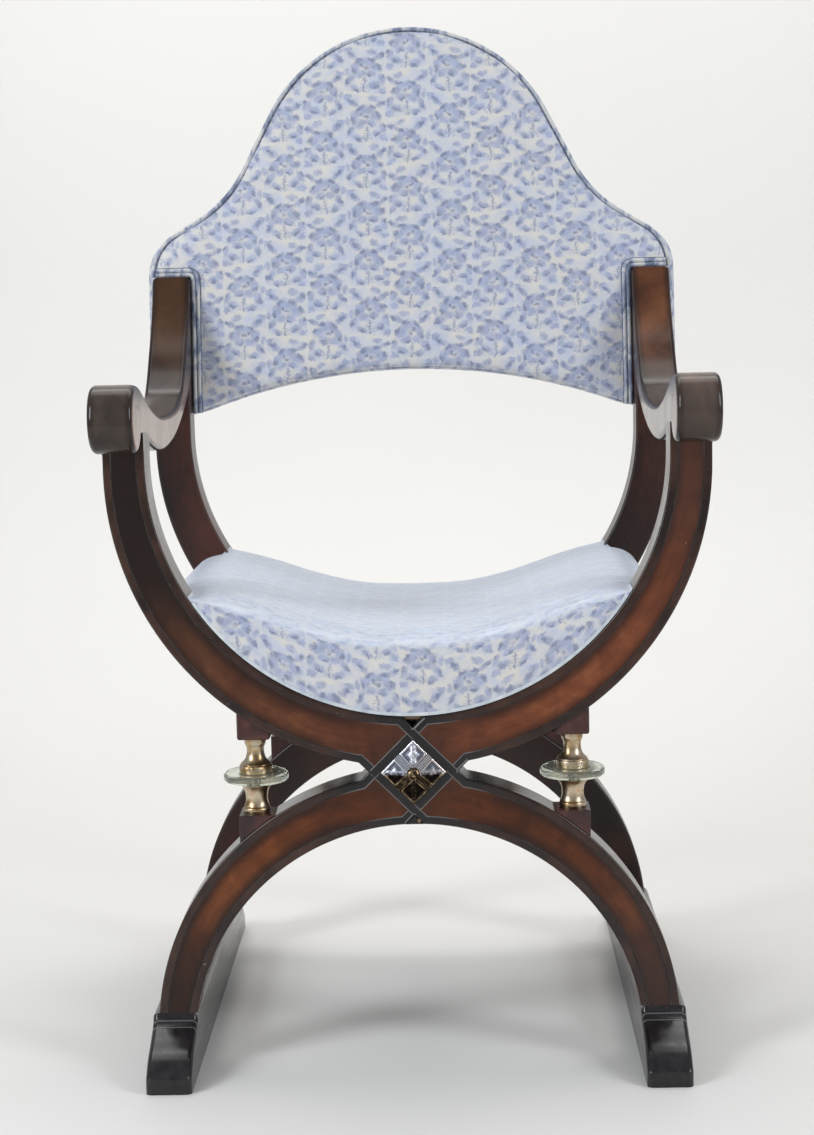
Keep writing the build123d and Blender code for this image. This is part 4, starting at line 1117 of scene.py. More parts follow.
# ---------------------------------------------------------------- arms
# Each arm is one sawn and shaped piece of mahogany: a drum scroll at the front, a dipped
# elbow rest, and an upright that carries the back.  The arrises are well rounded.
arm_middle, arm_width = 0.2865, 0.045
scroll_behind, scroll_height, scroll_radius = -0.044, 0.682, 0.034
arm_top = [
    (-44, 716), (-18, 713.5), (8, 706), (54, 692), (104, 680.5), (150, 674), (196, 672),
    (250, 672.6),
    (300, 677), (338, 688), (364, 708), (388, 734), (413, 762), (434, 791), (449.8, 822.9),
]
arm_under = [
    (472.8, 757), (462, 733), (440, 710), (400, 686), (352, 667), (288, 649), (237, 640.5),
    (180, 636.4),
    (129, 638.5), (85, 645.5), (43, 655), (12, 661.8), (-15.2, 664),
]


def millimetres(points):
    """Spots given in millimetres behind the frame's front and above the floor."""
    return [(frame_front + behind / 1000, height / 1000) for behind, height in points]


arm_line = [tuple(spot) for spot in smooth_line(millimetres(arm_top), 8)]
arm_line.append((frame_front + 0.48147, 0.81848))
arm_line += [tuple(spot) for spot in smooth_line(millimetres(arm_under), 8)]
for step in range(1, 36):
    angle = radians(-32 - 238 * step / 36)
    arm_line.append((
        frame_front + scroll_behind + scroll_radius * cos(angle),
        scroll_height + scroll_radius * sin(angle),
    ))

arm_finish = Finish("arm_mahogany", Base_Color=(0.02, 0.010, 0.007, 1), Roughness=0.2)
arm_x, arm_y, arm_z = arm_finish.split(arm_finish.place())
arm_cloud = arm_finish.noise(arm_finish.place((1.0, 1.0, 0.8)), 16, 4, 0.55, 0.8)
# The drum's top is painted a paler grey-brown than its front: a painted reflection of the light
# overhead.
drum_top_lit = arm_finish.span(arm_z, 0.654, 0.704)
drum_top_lit = arm_finish.math("MULTIPLY", arm_finish.span(arm_y, -0.250, -0.285), drum_top_lit)
arm_base = arm_finish.mix(
    drum_top_lit,
    arm_finish.ramp(arm_cloud, (0.35, (0.022, 0.014, 0.011)), (0.68, (0.054, 0.034, 0.026))),
    arm_finish.ramp(arm_cloud, (0.35, (0.048, 0.037, 0.031)), (0.68, (0.105, 0.080, 0.067))),
)
orange = arm_finish.ramp(arm_cloud, (0.35, (0.060, 0.021, 0.010)), (0.68, (0.140, 0.050, 0.021)))
brown = arm_finish.ramp(arm_cloud, (0.35, (0.034, 0.015, 0.007)), (0.68, (0.070, 0.032, 0.014)))
upright = arm_finish.span(arm_z, 0.690, 0.745, smooth=True)
left_to_right = arm_finish.span(arm_x, -0.1, 0.1)
arm_colour = arm_finish.mix(upright, arm_base, arm_finish.mix(left_to_right, brown, orange))
arm_out = arm_finish.math("ABSOLUTE", arm_x)
beside_arm = arm_finish.gap(arm_out, arm_middle)
edge_shade = arm_finish.span(beside_arm, 0.0125, 0.0205, 0.0, 0.75, smooth=True)
arm_colour = arm_finish.mix(edge_shade, arm_colour, (0.016, 0.009, 0.007))
# The arm's inner side is painted pale pinkish below the upright: a painted reflection of the bright
# room at a grazing angle.
inner_side = arm_finish.span(arm_finish.math("SUBTRACT", arm_middle, arm_out), 0.0212, 0.0222)
inner_side_reflection = arm_finish.mix(left_to_right, (0.215, 0.120, 0.084), (0.150, 0.115, 0.098))
inner_reflection_mask = arm_finish.math("MULTIPLY", inner_side, arm_finish.span(arm_z, 0.715, 0.680))
arm_colour = arm_finish.mix(inner_reflection_mask, arm_colour, inner_side_reflection)
# The volute: a fine line scribed on each side of the scroll.
from_scroll_y = arm_finish.math("SUBTRACT", arm_y, frame_front + scroll_behind)
from_scroll_z = arm_finish.math("SUBTRACT", arm_z, scroll_height)
spin = arm_finish.math("ARCTAN2", from_scroll_z, from_scroll_y)
volute = arm_finish.span(spin, -0.7, 1.5, 0.0292, 0.0105)
from_volute = arm_finish.gap(arm_finish.reach(from_scroll_y, from_scroll_z), volute)
on_line = arm_finish.span(from_volute, 0.0010, 0.0003, smooth=True)
within_turn = arm_finish.span(arm_finish.gap(spin, 0.4), 1.2, 1.0)
on_line = arm_finish.math("MULTIPLY", on_line, within_turn)
on_line = arm_finish.math("MULTIPLY", on_line, arm_finish.span(beside_arm, 0.0205, 0.0215))
arm_finish.wear(
    Base_Color=arm_finish.mix(on_line, arm_colour, (0.006, 0.004, 0.004)),
    Roughness=arm_finish.span(arm_cloud, 0.3, 0.7, 0.15, 0.24),
    Normal=arm_finish.bump(arm_finish.math("MULTIPLY", on_line, -1.0), 0.8, 0.0006),
)
arm_finish.skin.inputs["Specular IOR Level"].default_value = 0.34

for hand, side in ((-1, "left"), (1, "right")):
    inner = hand * arm_middle - arm_width / 2
    arm = closed_outline(f"{side}_arm_shaped", arm_line, "X", inner, inner + arm_width)
    ease_edges(
        arm,
        0.0075,
        6,
        lambda edge: abs(edge.verts[0].co.x - edge.verts[1].co.x) < 1e-6
        and abs(edge.verts[0].co.x - hand * arm_middle) > arm_width / 2 - 1e-4,
    )
    settle(arm, 30.0)
    arm.data.materials.append(arm_finish.material)
    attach(arm, "root")
    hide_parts(f"{side}_arm")


# ---------------------------------------------------------------- seat
# A padded saddle on the curved seat board, covered in printed satin.  The cloth rolls over
# a soft front edge and falls to the bowl as a crescent; between the frames it swells out.
pad_front, pad_back = frame_front + 0.0016, frame_back - 0.0016
pad_arc = bowl_inner_radius - 0.0003
seat_roll, seat_drop, seat_fall_back = 0.050, 0.0165, 0.0105
half_in_frame, half_swollen, swell_run = 0.2258, 0.2608, 0.045
crown_at = 0.42  # the seat is highest at this share of its depth
seat_top_line = [
    (0, 0.4545), (0.06, 0.4595), (0.11, 0.4720), (0.16, 0.4895), (0.190, 0.4968),
    (0.210, 0.4985), (0.2262, 0.4955),
]
swell_top_line = [
    (0, 0.4545), (0.06, 0.4595), (0.11, 0.4705), (0.16, 0.4870), (0.190, 0.4955),
    (0.211, 0.4995), (0.231, 0.4995), (0.246, 0.4945), (0.2560, 0.4855), (0.2608, 0.4710),
]
swell_foot_line = [
    (0.18, 0.4420), (0.20, 0.4462), (0.225, 0.4482), (0.245, 0.4515), (0.2575, 0.4590),
    (0.2608, 0.4710),
]
seat_top_line, swell_top_line, swell_foot_line = (
    [tuple(spot) for spot in smooth_line(line, 10)]
    for line in (seat_top_line, swell_top_line, swell_foot_line)
)


def read_line(line, x):
    """Height of a drawn line at x, on either side of the middle."""
    reach = abs(x)
    for (x_one, z_one), (x_two, z_two) in zip(line, line[1:]):
        if reach <= x_two:
            return z_one + (z_two - z_one) * max(0.0, (reach - x_one) / max(x_two - x_one, 1e-9))
    return line[-1][1]


def seat_arc(x):
    """Height of the seat's underside where it rests in the bowl."""
    return bowl_inner_centre - sqrt(pad_arc**2 - min(abs(x), 0.26) ** 2)


def swell_at(y):
    """How far the seat has swollen out between the frames, from 0 to 1."""
    behind_front = y - frame_front - member_depth - 0.001
    before_back = frame_back - member_depth - 0.001 - y
    part = max(0.0, min(1.0, min(behind_front, before_back) / swell_run))
    return sin(part * pi / 2) ** 0.85


def seat_section(across, y):
    """Top and bottom of the seat at a share of its half width, -1 to 1."""
    swell = swell_at(y)
    lean = sin(across * pi / 2)
    inner, outer = half_in_frame * lean, half_swollen * lean
    near = max(0.0, min(y - pad_front, pad_back - y, seat_roll))
    drop = seat_drop * (1 - sqrt(max(0.0, 1 - (1 - near / seat_roll) ** 2)))
    behind = (y - pad_front) / (pad_back - pad_front)
    if behind > crown_at:
        crown = ((behind - crown_at) / (1 - crown_at)) ** 2
    else:
        crown = 0.35 * ((crown_at - behind) / crown_at) ** 2
    drop += seat_fall_back * crown * (0.25 + 0.75 * min(1.0, abs(inner) / 0.15))
    drop *= 1 - abs(lean) ** 8
    low_frame = seat_arc(inner)
    high_frame = max(read_line(seat_top_line, inner) - drop, low_frame + 0.0003)
    low_swell = seat_arc(outer) if abs(outer) < 0.18 else read_line(swell_foot_line, outer)
    high_swell = max(read_line(swell_top_line, outer) - drop, low_swell + 0.0003)
    return (
        inner + (outer - inner) * swell,
        low_frame + (low_swell - low_frame) * swell,
        high_frame + (high_swell - high_frame) * swell,
    )


form = bmesh.new()
columns = 96
rows = [pad_front + seat_roll * (1 - cos(step / 10 * pi / 2)) for step in range(10)]
inside = pad_back - pad_front - 2 * seat_roll
rows += [pad_front + seat_roll + inside * step / 60 for step in range(61)]
rows += [pad_back - seat_roll * (1 - cos(step / 10 * pi / 2)) for step in reversed(range(10))]
tops, bottoms = [], []
for y in rows:
    sections = [seat_section(2 * column / columns - 1, y) for column in range(columns + 1)]
    tops.append([form.verts.new((x, y, high)) for x, low, high in sections])
    bottoms.append([form.verts.new((x, y, low)) for x, low, high in sections])
for place in range(len(rows) - 1):
    for column in range(columns):
        near, far = tops[place], tops[place + 1]
        form.faces.new((near[column], near[column + 1], far[column + 1], far[column]))
        near, far = bottoms[place], bottoms[place + 1]
        form.faces.new((near[column + 1], near[column], far[column], far[column + 1]))
    for edge, flip in ((0, 1), (columns, -1)):
        loop = (
            tops[place][edge], tops[place + 1][edge],
            bottoms[place + 1][edge], bottoms[place][edge],
        )
        form.faces.new(loop[::flip])
falls = 14
for place, flip, out in ((0, 1, -0.0034), (len(rows) - 1, -1, 0.0034)):
    net = [bottoms[place]]
    for step in range(1, falls):
        part = step / falls
        row = []
        for low, high in zip(bottoms[place], tops[place]):
            spot = low.co.lerp(high.co, part)
            spot.y += out * sin(part * pi) * min(1.0, (high.co.z - low.co.z) / 0.03)
            row.append(form.verts.new(spot))
        net.append(row)
    net.append(tops[place])
    for below, above in zip(net, net[1:]):
        for column in range(columns):
            loop = (below[column], below[column + 1], above[column + 1], above[column])
            form.faces.new(loop[::flip])
seat = piece_from("seat_cushion", form)


def cloth_map(piece, unfold):
    """A UV map named cloth, in metres: where each spot of the cover lay in the flat cloth."""
    layer = piece.data.uv_layers.new(name="cloth")
    for polygon in piece.data.polygons:
        for place in polygon.loop_indices:
            spot = piece.data.vertices[piece.data.loops[place].vertex_index].co
            layer.data[place].uv = unfold(spot, polygon.normal)


def unfold_seat(spot, facing):
    """The cloth runs down from the seat's top over its front, its back and its sides."""
    fall = max(0.0, read_line(seat_top_line, spot.x) - spot.z)
    if abs(spot.x) > 0.2 and abs(facing.y) < 0.6 and (abs(facing.x) > 0.5 or facing.z < 0):
        return (spot.x * 1.06 + 0.013 + (fall if spot.x > 0 else -fall), spot.y - pad_front)
    return (spot.x * 1.06 + 0.013, spot.y - pad_front - fall)


cloth_map(seat, unfold_seat)


def leaf(cloth, cell, x, y, long, wide, turn, soft=0.35):
    """A painted blot in the repeat, an oval with a soft edge: 1 inside and 0 outside."""
    wires = {"Vector": cell, "Location": (x, y, 0), "Scale": (long, wide, 1)}
    wires["Rotation"] = (0, 0, radians(turn))
    oval = cloth.add("Mapping", wires, vector_type="TEXTURE")
    reach = cloth.add("VectorMath", {0: oval}, output=1, operation="LENGTH")
    return cloth.span(reach, 1 + soft / 2, 1 - soft, smooth=True)


def heap(cloth, blots):
    """The strongest of several blots."""
    total = blots[0]
    for blot in blots[1:]:
        total = cloth.math("MAXIMUM", total, blot)
    return total


satin = Finish("printed_satin", Roughness=0.42, Sheen_Weight=0.30, Sheen_Roughness=0.35)
satin.skin.inputs["Sheen Tint"].default_value = (0.86, 0.93, 1.0, 1)
repeat_wide, repeat_high = 50.0, 58.0
cloth_spot = satin.place((1000, 1000, 1), source="UV")


def stir(spot, scale, detail, amount):
    """The spot moved about by a soft noise, so that no printed edge runs true."""
    way = satin.add("TexNoise", {"Vector": spot, "Scale": scale, "Detail": detail}, output=1)
    way = satin.add("VectorMath", {0: way, 1: (0.5, 0.5, 0.5)}, operation="SUBTRACT")
    way = satin.add("VectorMath", {0: way, "Scale": amount}, operation="SCALE")
    return satin.add("VectorMath", {0: spot, 1: way}, operation="ADD")


painted = stir(stir(cloth_spot, 0.035, 2.0, 11.0), 0.26, 2.0, 6.5)
print_x, print_y, _ = satin.split(painted)
column_at = satin.math("FLOOR", satin.math("DIVIDE", print_x, repeat_wide))
odd = satin.math("PINGPONG", column_at, 1.0)
cell_x = satin.math("FLOORED_MODULO", print_x, repeat_wide)
cell_x = satin.math("SUBTRACT", cell_x, repeat_wide / 2)
cell_x = satin.math("MULTIPLY", cell_x, satin.math("MULTIPLY_ADD", odd, -2.0, 1.0))
half_drop = satin.math("MULTIPLY_ADD", odd, repeat_high / 2, print_y)
cell_y = satin.math("FLOORED_MODULO", half_drop, repeat_high)
cell_y = satin.math("SUBTRACT", cell_y, repeat_high / 2)
cell = satin.add("CombineXYZ", {0: cell_x, 1: cell_y, 2: 0.0})
# A blossom of broad petals, with leaves about it.
petals = heap(satin, [
    leaf(satin, cell, x, y, long * 1.15, wide * 1.3, turn, 0.5)
    for x, y, long, wide, turn in (
        (-12, 3, 7.5, 4.6, 35), (-5, 11, 7.5, 4.2, -10), (5, 10, 7.8, 4.4, -32),
        (11.5, 2.5, 7.0, 4.2, 75), (-6, -5, 6.0, 3.6, 20), (5.5, -5.5, 6.4, 3.6, -25),
        (-18, 17, 6.8, 3.4, -30), (-9, 23.5, 6.0, 3.2, 20), (15, 19, 7.2, 3.4, 38),
        (21, 26, 5.0, 3.0, -20), (-20, -11, 6.4, 3.2, 62), (-12, -18, 6.6, 3.2, -18),
        (17, -12, 6.8, 3.4, -58), (10, -22, 6.2, 3.2, 24), (-21, -25, 5.4, 3.2, 10),
        (21, -2, 5.0, 2.6, 80),
    )
])
accents = heap(satin, [
    leaf(satin, cell, x, y, long * 1.1, wide * 1.45, turn, 0.6)
    for x, y, long, wide, turn in (
        (-16.5, 4, 4.6, 2.2, 55), (-8, 13.5, 4.8, 1.8, 5), (7.5, 12, 5.0, 1.9, -35),
        (14, -1, 4.4, 2.0, 78), (-1, 2.5, 3.4, 1.7, 10), (3.5, 5.5, 2.6, 1.4, 70),
        (-4.5, -7.5, 3.8, 1.5, 18), (-21, 18, 4.0, 1.7, -25), (17, 20.5, 4.6, 1.8, 40),
        (-13, -20, 4.4, 1.7, -14), (19.5, -14.5, 4.2, 1.8, -60), (-22, -8, 3.0, 1.6, 60),
        (9, -24, 3.6, 1.6, 20),
    )
])
wash = heap(satin, [
    leaf(satin, cell, x, y, long, wide, turn, 1.2)
    for x, y, long, wide, turn in (
        (0, 3, 21, 15, 0), (-18, -20, 13, 10, 20), (19, 22, 13, 10, -15), (18, -17, 9, 8, 0),
    )
])
cream = heap(satin, [
    leaf(satin, cell, x, y, long, wide, turn, 0.9)
    for x, y, long, wide, turn in (
        (0, 0, 8.0, 6.4, 10), (-15, 10, 5.6, 3.8, 40), (13, 11, 5.2, 3.6, -40),
        (-19, -4, 5, 4, 0), (4, -14, 8.4, 4.4, 6), (-3, 28, 9, 4.6, 0), (-3, -30, 9, 4.6, 0),
    )
])
# A small fern stands between the blossoms: a stem, and barbs that shorten towards its tip.
away = satin.math("ABSOLUTE", cell_x)
fern_rise = satin.math("ADD", cell_y, 18.0)
fern_reach = satin.math("ABSOLUTE", fern_rise)
stem = satin.math(
    "MULTIPLY", satin.span(away, 1.5, 0.6, smooth=True), satin.span(fern_reach, 9.5, 8.0)
)
barb = satin.math(
    "FRACT", satin.math("DIVIDE", satin.math("MULTIPLY_ADD", away, -0.8, cell_y), 3.4)
)
barb = satin.gap(barb, 0.5)
barb_reach = satin.math("MULTIPLY_ADD", fern_rise, -0.34, 5.0)
barb_end = satin.span(satin.math("SUBTRACT", barb_reach, away), 0.0, 1.4)
barbs = satin.math("MULTIPLY", satin.span(barb, 0.30, 0.10, smooth=True), barb_end)
barbs = satin.math("MULTIPLY", barbs, satin.span(fern_reach, 9.0, 7.5))
fern = satin.math("MAXIMUM", stem, satin.math("MULTIPLY", barbs, 0.8))
pigment = satin.noise(cloth_spot, 0.13, 5.0, 0.65)
bloom = satin.noise(cloth_spot, 0.045, 3.0, 0.6)
drift = satin.noise(cloth_spot, 0.010, 2.0, 0.5)
grain = satin.noise(cloth_spot, 0.8, 3.0, 0.7)
warmth = satin.span(drift, 0.42, 0.58)
ground = satin.mix(warmth, (0.610, 0.610, 0.620), (0.660, 0.635, 0.590))
ground = satin.mix(satin.span(bloom, 0.34, 0.52), (0.530, 0.560, 0.655), ground)
creamed = satin.math("MULTIPLY", cream, satin.span(pigment, 0.30, 0.62, 0.2, 0.85))
colour = satin.mix(creamed, ground, (0.690, 0.645, 0.560))
tint = satin.mix(warmth, (0.395, 0.445, 0.620), (0.420, 0.450, 0.590))
wash = satin.math(
    "MULTIPLY", wash, satin.math("SUBTRACT", 1.0, satin.math("MULTIPLY", cream, 0.75))
)
washed = satin.math("MULTIPLY", wash, satin.span(pigment, 0.30, 0.66, 0.15, 0.95))
colour = satin.mix(washed, colour, tint)
blue = satin.mix(satin.span(pigment, 0.38, 0.62), (0.185, 0.222, 0.370), (0.345, 0.395, 0.580))
petalled = satin.math("MULTIPLY", petals, satin.span(grain, 0.3, 0.7, 0.45, 0.92))
colour = satin.mix(petalled, colour, blue)
deep = satin.math("MULTIPLY", accents, satin.span(pigment, 0.34, 0.56, 0.25, 0.95))
deep = satin.math("MULTIPLY", deep, satin.span(grain, 0.3, 0.7, 0.6, 1.0))
colour = satin.mix(deep, colour, (0.120, 0.145, 0.250))
ferned = satin.math("MULTIPLY", fern, satin.span(pigment, 0.3, 0.6, 0.35, 0.80))
colour = satin.mix(ferned, colour, (0.180, 0.215, 0.350))
# The satin's floats lie along the width, so light slides along them on the seat's top:
# faces that look upward are painted paler blue-grey, a painted sheen streaked along the width.
slub = satin.noise(satin.place((14, 620, 1), source="UV"), 1.0, 3.0, 0.6)
_, _, facing_up = satin.split(satin.add("NewGeometry", output=1))
upward_sheen = satin.span(facing_up, 0.10, 0.97, smooth=True)
lustre = satin.mix(satin.span(slub, 0.36, 0.62), (0.45, 0.505, 0.60), (0.65, 0.72, 0.82))
lustre = satin.mix(satin.span(bloom, 0.40, 0.62, 0.0, 0.45), lustre, (0.52, 0.535, 0.58))
upward_sheen = satin.math("MULTIPLY", upward_sheen, satin.span(slub, 0.3, 0.65, 0.50, 0.88))
colour = satin.mix(upward_sheen, colour, lustre)
threads = satin.noise(satin.place((1400, 2100, 1), source="UV"), 1.0, 1.0, 0.5)
pucker = satin.noise(satin.place((22, 9, 1), source="UV"), 1.0, 2.0, 0.5)
satin.wear(
    Base_Color=satin.mix(satin.span(threads, 0.25, 0.75, 0.0, 0.12), colour, (0.72, 0.76, 0.84)),
    Roughness=satin.span(threads, 0.25, 0.75, 0.34, 0.50),
    Normal=satin.bump(threads, 0.25, 0.0003, satin.bump(pucker, 0.5, 0.0045)),
)
seat.data.materials.append(satin.material)
settle(seat, 60.0, False)
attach(seat, "root")
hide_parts("seat_pad")


# ---------------------------------------------------------------- seat trims
# A fine pale gimp closes the cover along the bowl, front and back, and a dark dust cover is
# tacked under the board.
gimp = Finish("pale_gimp", Base_Color=(0.58, 0.63, 0.68, 1), Roughness=0.7, Sheen_Weight=0.3)
gimp_wires = {"Vector": gimp.place(), "Scale": 420.0, "Distortion": 1.5}
gimp_twill = gimp.add("TexWave", gimp_wires, bands_direction="DIAGONAL")
gimp_soil = gimp.noise(gimp.place(), 70, 3, 0.6)
gimp.wear(
    Base_Color=gimp.ramp(gimp_soil, (0.3, (0.44, 0.50, 0.56)), (0.7, (0.68, 0.71, 0.72))),
    Normal=gimp.bump(gimp_twill, 0.4, 0.0004),
)
under_cloth = Finish("dark_cloth", Base_Color=(0.03, 0.03, 0.032, 1), Roughness=0.9)
under_weave = under_cloth.add("TexWave", {"Vector": under_cloth.place(), "Scale": 380.0})
under_cloth.wear(
    Base_Color=under_cloth.ramp(
        under_weave, (0.2, (0.018, 0.018, 0.02)), (0.8, (0.05, 0.05, 0.052))
    ),
    Normal=under_cloth.bump(under_weave, 0.5, 0.0004),
)
gimp_arc, gimp_wide, gimp_thick = bowl_inner_radius - 0.0004, 0.0036, 0.0016
gimp_reach = radians(57.0)
for name, start in (("front", frame_front), ("rear", frame_back - gimp_thick)):
    line = []
    for radius, way in ((gimp_arc, 1), (gimp_arc - gimp_wide, -1)):
        for step in range(61):
            angle = -pi / 2 + way * gimp_reach * (2 * step / 60 - 1)
            line.append((radius * cos(angle), bowl_inner_centre + radius * sin(angle)))
    trim = closed_outline(f"seat_{name}_trim", line, "Y", start, start + gimp_thick)
    ease_edges(trim, 0.0006, 2, lambda edge: edge.calc_face_angle(0) > radians(60))
    settle(trim)
    trim.data.materials.append(gimp.material)
    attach(trim, "root")
    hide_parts(f"seat_{name}_gimp")

# The dust cover: thin cloth tacked to the board's underside, a little slack between the tacks.
cover_front, cover_back = frame_front + member_depth + 0.001, frame_back - member_depth - 0.001
cover_reach = radians(50.0)
cover_centre, cover_radius, cover_thick = 0.632, 0.2662, 0.0008
bpy.ops.object.select_all(action="DESELECT")
bpy.ops.mesh.primitive_grid_add(x_subdivisions=80, y_subdivisions=60, size=1.0)
under = bpy.context.object
under.name = "under_cover"
for vertex in under.data.vertices:
    across, along = 2 * vertex.co.x, vertex.co.y + 0.5
    angle = -pi / 2 + across * cover_reach
    slack = 0.0016 * (1 - across**2) * (1 - (2 * along - 1) ** 2)
    slack += 0.0003 * sin(across * 37) * cos(along * 23)
    radius = cover_radius + slack
    vertex.co = (
        radius * cos(angle),
        cover_front + (cover_back - cover_front) * along,
        cover_centre + radius * sin(angle),
    )
bpy.ops.object.modifier_add(type="SOLIDIFY")
under.modifiers[-1].thickness = cover_thick
under.modifiers[-1].offset = 0.0
bpy.ops.object.modifier_apply(modifier=under.modifiers[-1].name)
settle(under, 50.0, False)
under.data.materials.append(under_cloth.material)
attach(under, "root")
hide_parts("seat_dust_cover")


# ---------------------------------------------------------------- back
# A shaped board behind the uprights, padded in front and covered in the same printed satin.
# It is notched round the uprights, and the cloth is drawn tight over its edge.
back_lean, back_foot_y, back_foot_z = radians(8.0), frame_back + 0.0015, 0.660
back_half, back_crown, notch_top = 0.311, 0.45747, 0.162
dome_radius, flank, hollow_radius, shoulder, corner_radius = 0.18699, 0.072, 0.150, 0.0334, 0.055
arch_half, arch_rise = 0.258, 0.049


def on_back(x, along, proud):
    """A spot on the leaning back: along its slope from its foot, and proud of the board."""
    return (
        x,
        back_foot_y + along * sin(back_lean) - proud * cos(back_lean),
        back_foot_z + along * cos(back_lean) + proud * sin(back_lean),
    )


def crown_line(inset):
    """The back's upper right edge, from its top down to the side, as x and distance along."""
    spot, heading = Vector((0.0, back_crown - inset)), 0.0
    line = [tuple(spot)]
    for radius, turn, length, steps in (
        (dome_radius - inset, -63.0, 0, 26),
        (0, 0, flank, 6),
        (hollow_radius + inset, 32.0, 0, 12),
        (0, 0, shoulder, 4),
        (corner_radius - inset, -59.0, 0, 14),
    ):
        for step in range(steps):
            if radius:
                swing = radians(turn) / steps
                chord = 2 * radius * sin(abs(swing) / 2)
                heading += swing / 2
                spot = spot + Vector((cos(heading), sin(heading))) * chord
                heading += swing / 2
            else:
                spot = spot + Vector((cos(heading), sin(heading))) * length / steps
            line.append(tuple(spot))
    return line


def foot_line(inset, half):
    """The back's arched lower edge, from the right to the left."""
    spring = (arch_half**2 / arch_rise + arch_rise) / 2
    line = []
    for step in range(41):
        x = half - 2 * half * step / 40
        sag = spring - sqrt(spring**2 - min(abs(x), arch_half) ** 2)
        line.append((x, max(arch_rise - sag, 0.0) + inset))
    return line


def fine_solid(name, outline, thickness, voxel):
    """A slab of this outline with an even fine mesh, and the spots of that mesh."""
    slab = closed_outline(name, outline, "Y", 0.0, thickness)
    bpy.ops.object.modifier_add(type="REMESH")
    slab.modifiers[-1].mode = "VOXEL"
    slab.modifiers[-1].voxel_size = voxel
    bpy.ops.object.modifier_apply(modifier=slab.modifiers[-1].name)
    spots = np.empty(len(slab.data.vertices) * 3)
    slab.data.vertices.foreach_get("co", spots)
    return slab, spots.reshape(-1, 3)


def rim_reach(spots, line, closed=True):
    """How far each spot is from a line in X and Z, and the way out across the line there."""
    line = np.array(line)
    ends = np.roll(line, -1, axis=0)
    reach, outward = np.full(len(spots), 9.0), np.zeros((len(spots), 2))
    for start, end in list(zip(line, ends))[: None if closed else -1]:
        run = end - start
        if run @ run < 1e-12:
            continue
        share = np.clip(((spots[:, [0, 2]] - start) @ run) / (run @ run), 0, 1)
        gap = np.hypot(*(spots[:, [0, 2]] - start - share[:, None] * run).T)
        nearer = gap < reach
        reach = np.where(nearer, gap, reach)
        outward[nearer] = np.array((-run[1], run[0])) / sqrt(run @ run)
    return reach, outward


def put_on_back(piece, spots):
    """Moves a piece that was shaped upright and level onto the leaning back."""
    spots = np.array([on_back(x, along, out) for x, out, along in spots])
    piece.data.vertices.foreach_set("co", spots.ravel())
    piece.data.update()


def unfold_back(spot, facing):
    """The cloth lies flat on the back and turns over its edges the way they face."""
    along = (spot.z - back_foot_z) * cos(back_lean) + (spot.y - back_foot_y) * sin(back_lean)
    behind = (spot.y - back_foot_y) * cos(back_lean) - (spot.z - back_foot_z) * sin(back_lean)
    upward = facing.z * cos(back_lean) + facing.y * sin(back_lean)
    return (spot.x + 0.025 + behind * facing.x, along + behind * upward)


def unfold_pad(spot, facing):
    """The pad's cloth is cut flat, whichever way the spot faces."""
    return unfold_back(spot, Vector())


def dress_in_satin(piece, unfold, node):
    """Covers a padded part of the back in the seat's satin."""
    cloth_map(piece, unfold)
    piece.data.materials.append(satin.material)
    settle(piece, 60.0, False)
    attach(piece, "root")
    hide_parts(node)


pad_inset, notch_edge, edge_proud = 0.0008, 0.2628, 0.0150
pad_thick, pad_mesh = 0.014, 0.0042
pad_crown = crown_line(pad_inset)
pad_right = pad_crown + [
    (back_half - pad_inset, notch_top + 0.0012),
    (notch_edge + 0.004, notch_top + 0.0012),
    (notch_edge, notch_top - 0.003),
    (notch_edge, 0.001),
]
pad_outline = pad_right + foot_line(0.001, notch_edge)[1:-1]
pad_outline += [(-x, along) for x, along in reversed(pad_right) if x > 1e-6]
back_pad, spots = fine_solid("back_cushion", pad_outline, pad_thick, pad_mesh)
crown_all = [(-x, a) for x, a in reversed(pad_crown)] + pad_crown[1:]
rim_gap, outward = rim_reach(spots, crown_all, closed=False)
reach, way = rim_reach(spots, pad_outline)
by_notch = rim_gap / (rim_gap + reach + 1e-6)
base = edge_proud + 0.0030 * np.clip((by_notch - 0.5) * 2, 0, 1)
thick = base + 0.0040 * (1 - np.exp(-reach / 0.010))
thick += 0.0035 * (1 - np.exp(-((reach / 0.085) ** 2)))
foot_gap = spots[:, 2] - np.interp(spots[:, 0], *np.array(foot_line(0.001, notch_edge)[::-1]).T)
thick -= 0.0050 * np.exp(-np.clip(foot_gap, 0, 1) / 0.006) * (np.abs(spots[:, 0]) < notch_edge)
ripple = 0.0006 * np.sin(spots[:, 0] * 61 + 1.3 * np.sin(spots[:, 2] * 23)) * np.exp(-reach / 0.05)
folds = 0.0007 * np.sin(spots[:, 0] * 190 + 2.0 * np.sin(spots[:, 0] * 47))
folds *= np.exp(-np.clip(foot_gap, 0, 1) / 0.010)
share = np.clip(1 - spots[:, 1] / pad_thick, 0, 1)
bulge = 0.0016 * np.cos(share * pi / 2) * np.exp(-rim_gap / 0.004)
spots[:, [0, 2]] += outward * bulge[:, None]
spots[:, 1] = share * (thick + ripple + folds) + 0.0003
put_on_back(back_pad, spots)
dress_in_satin(back_pad, unfold_pad, "back_pad")

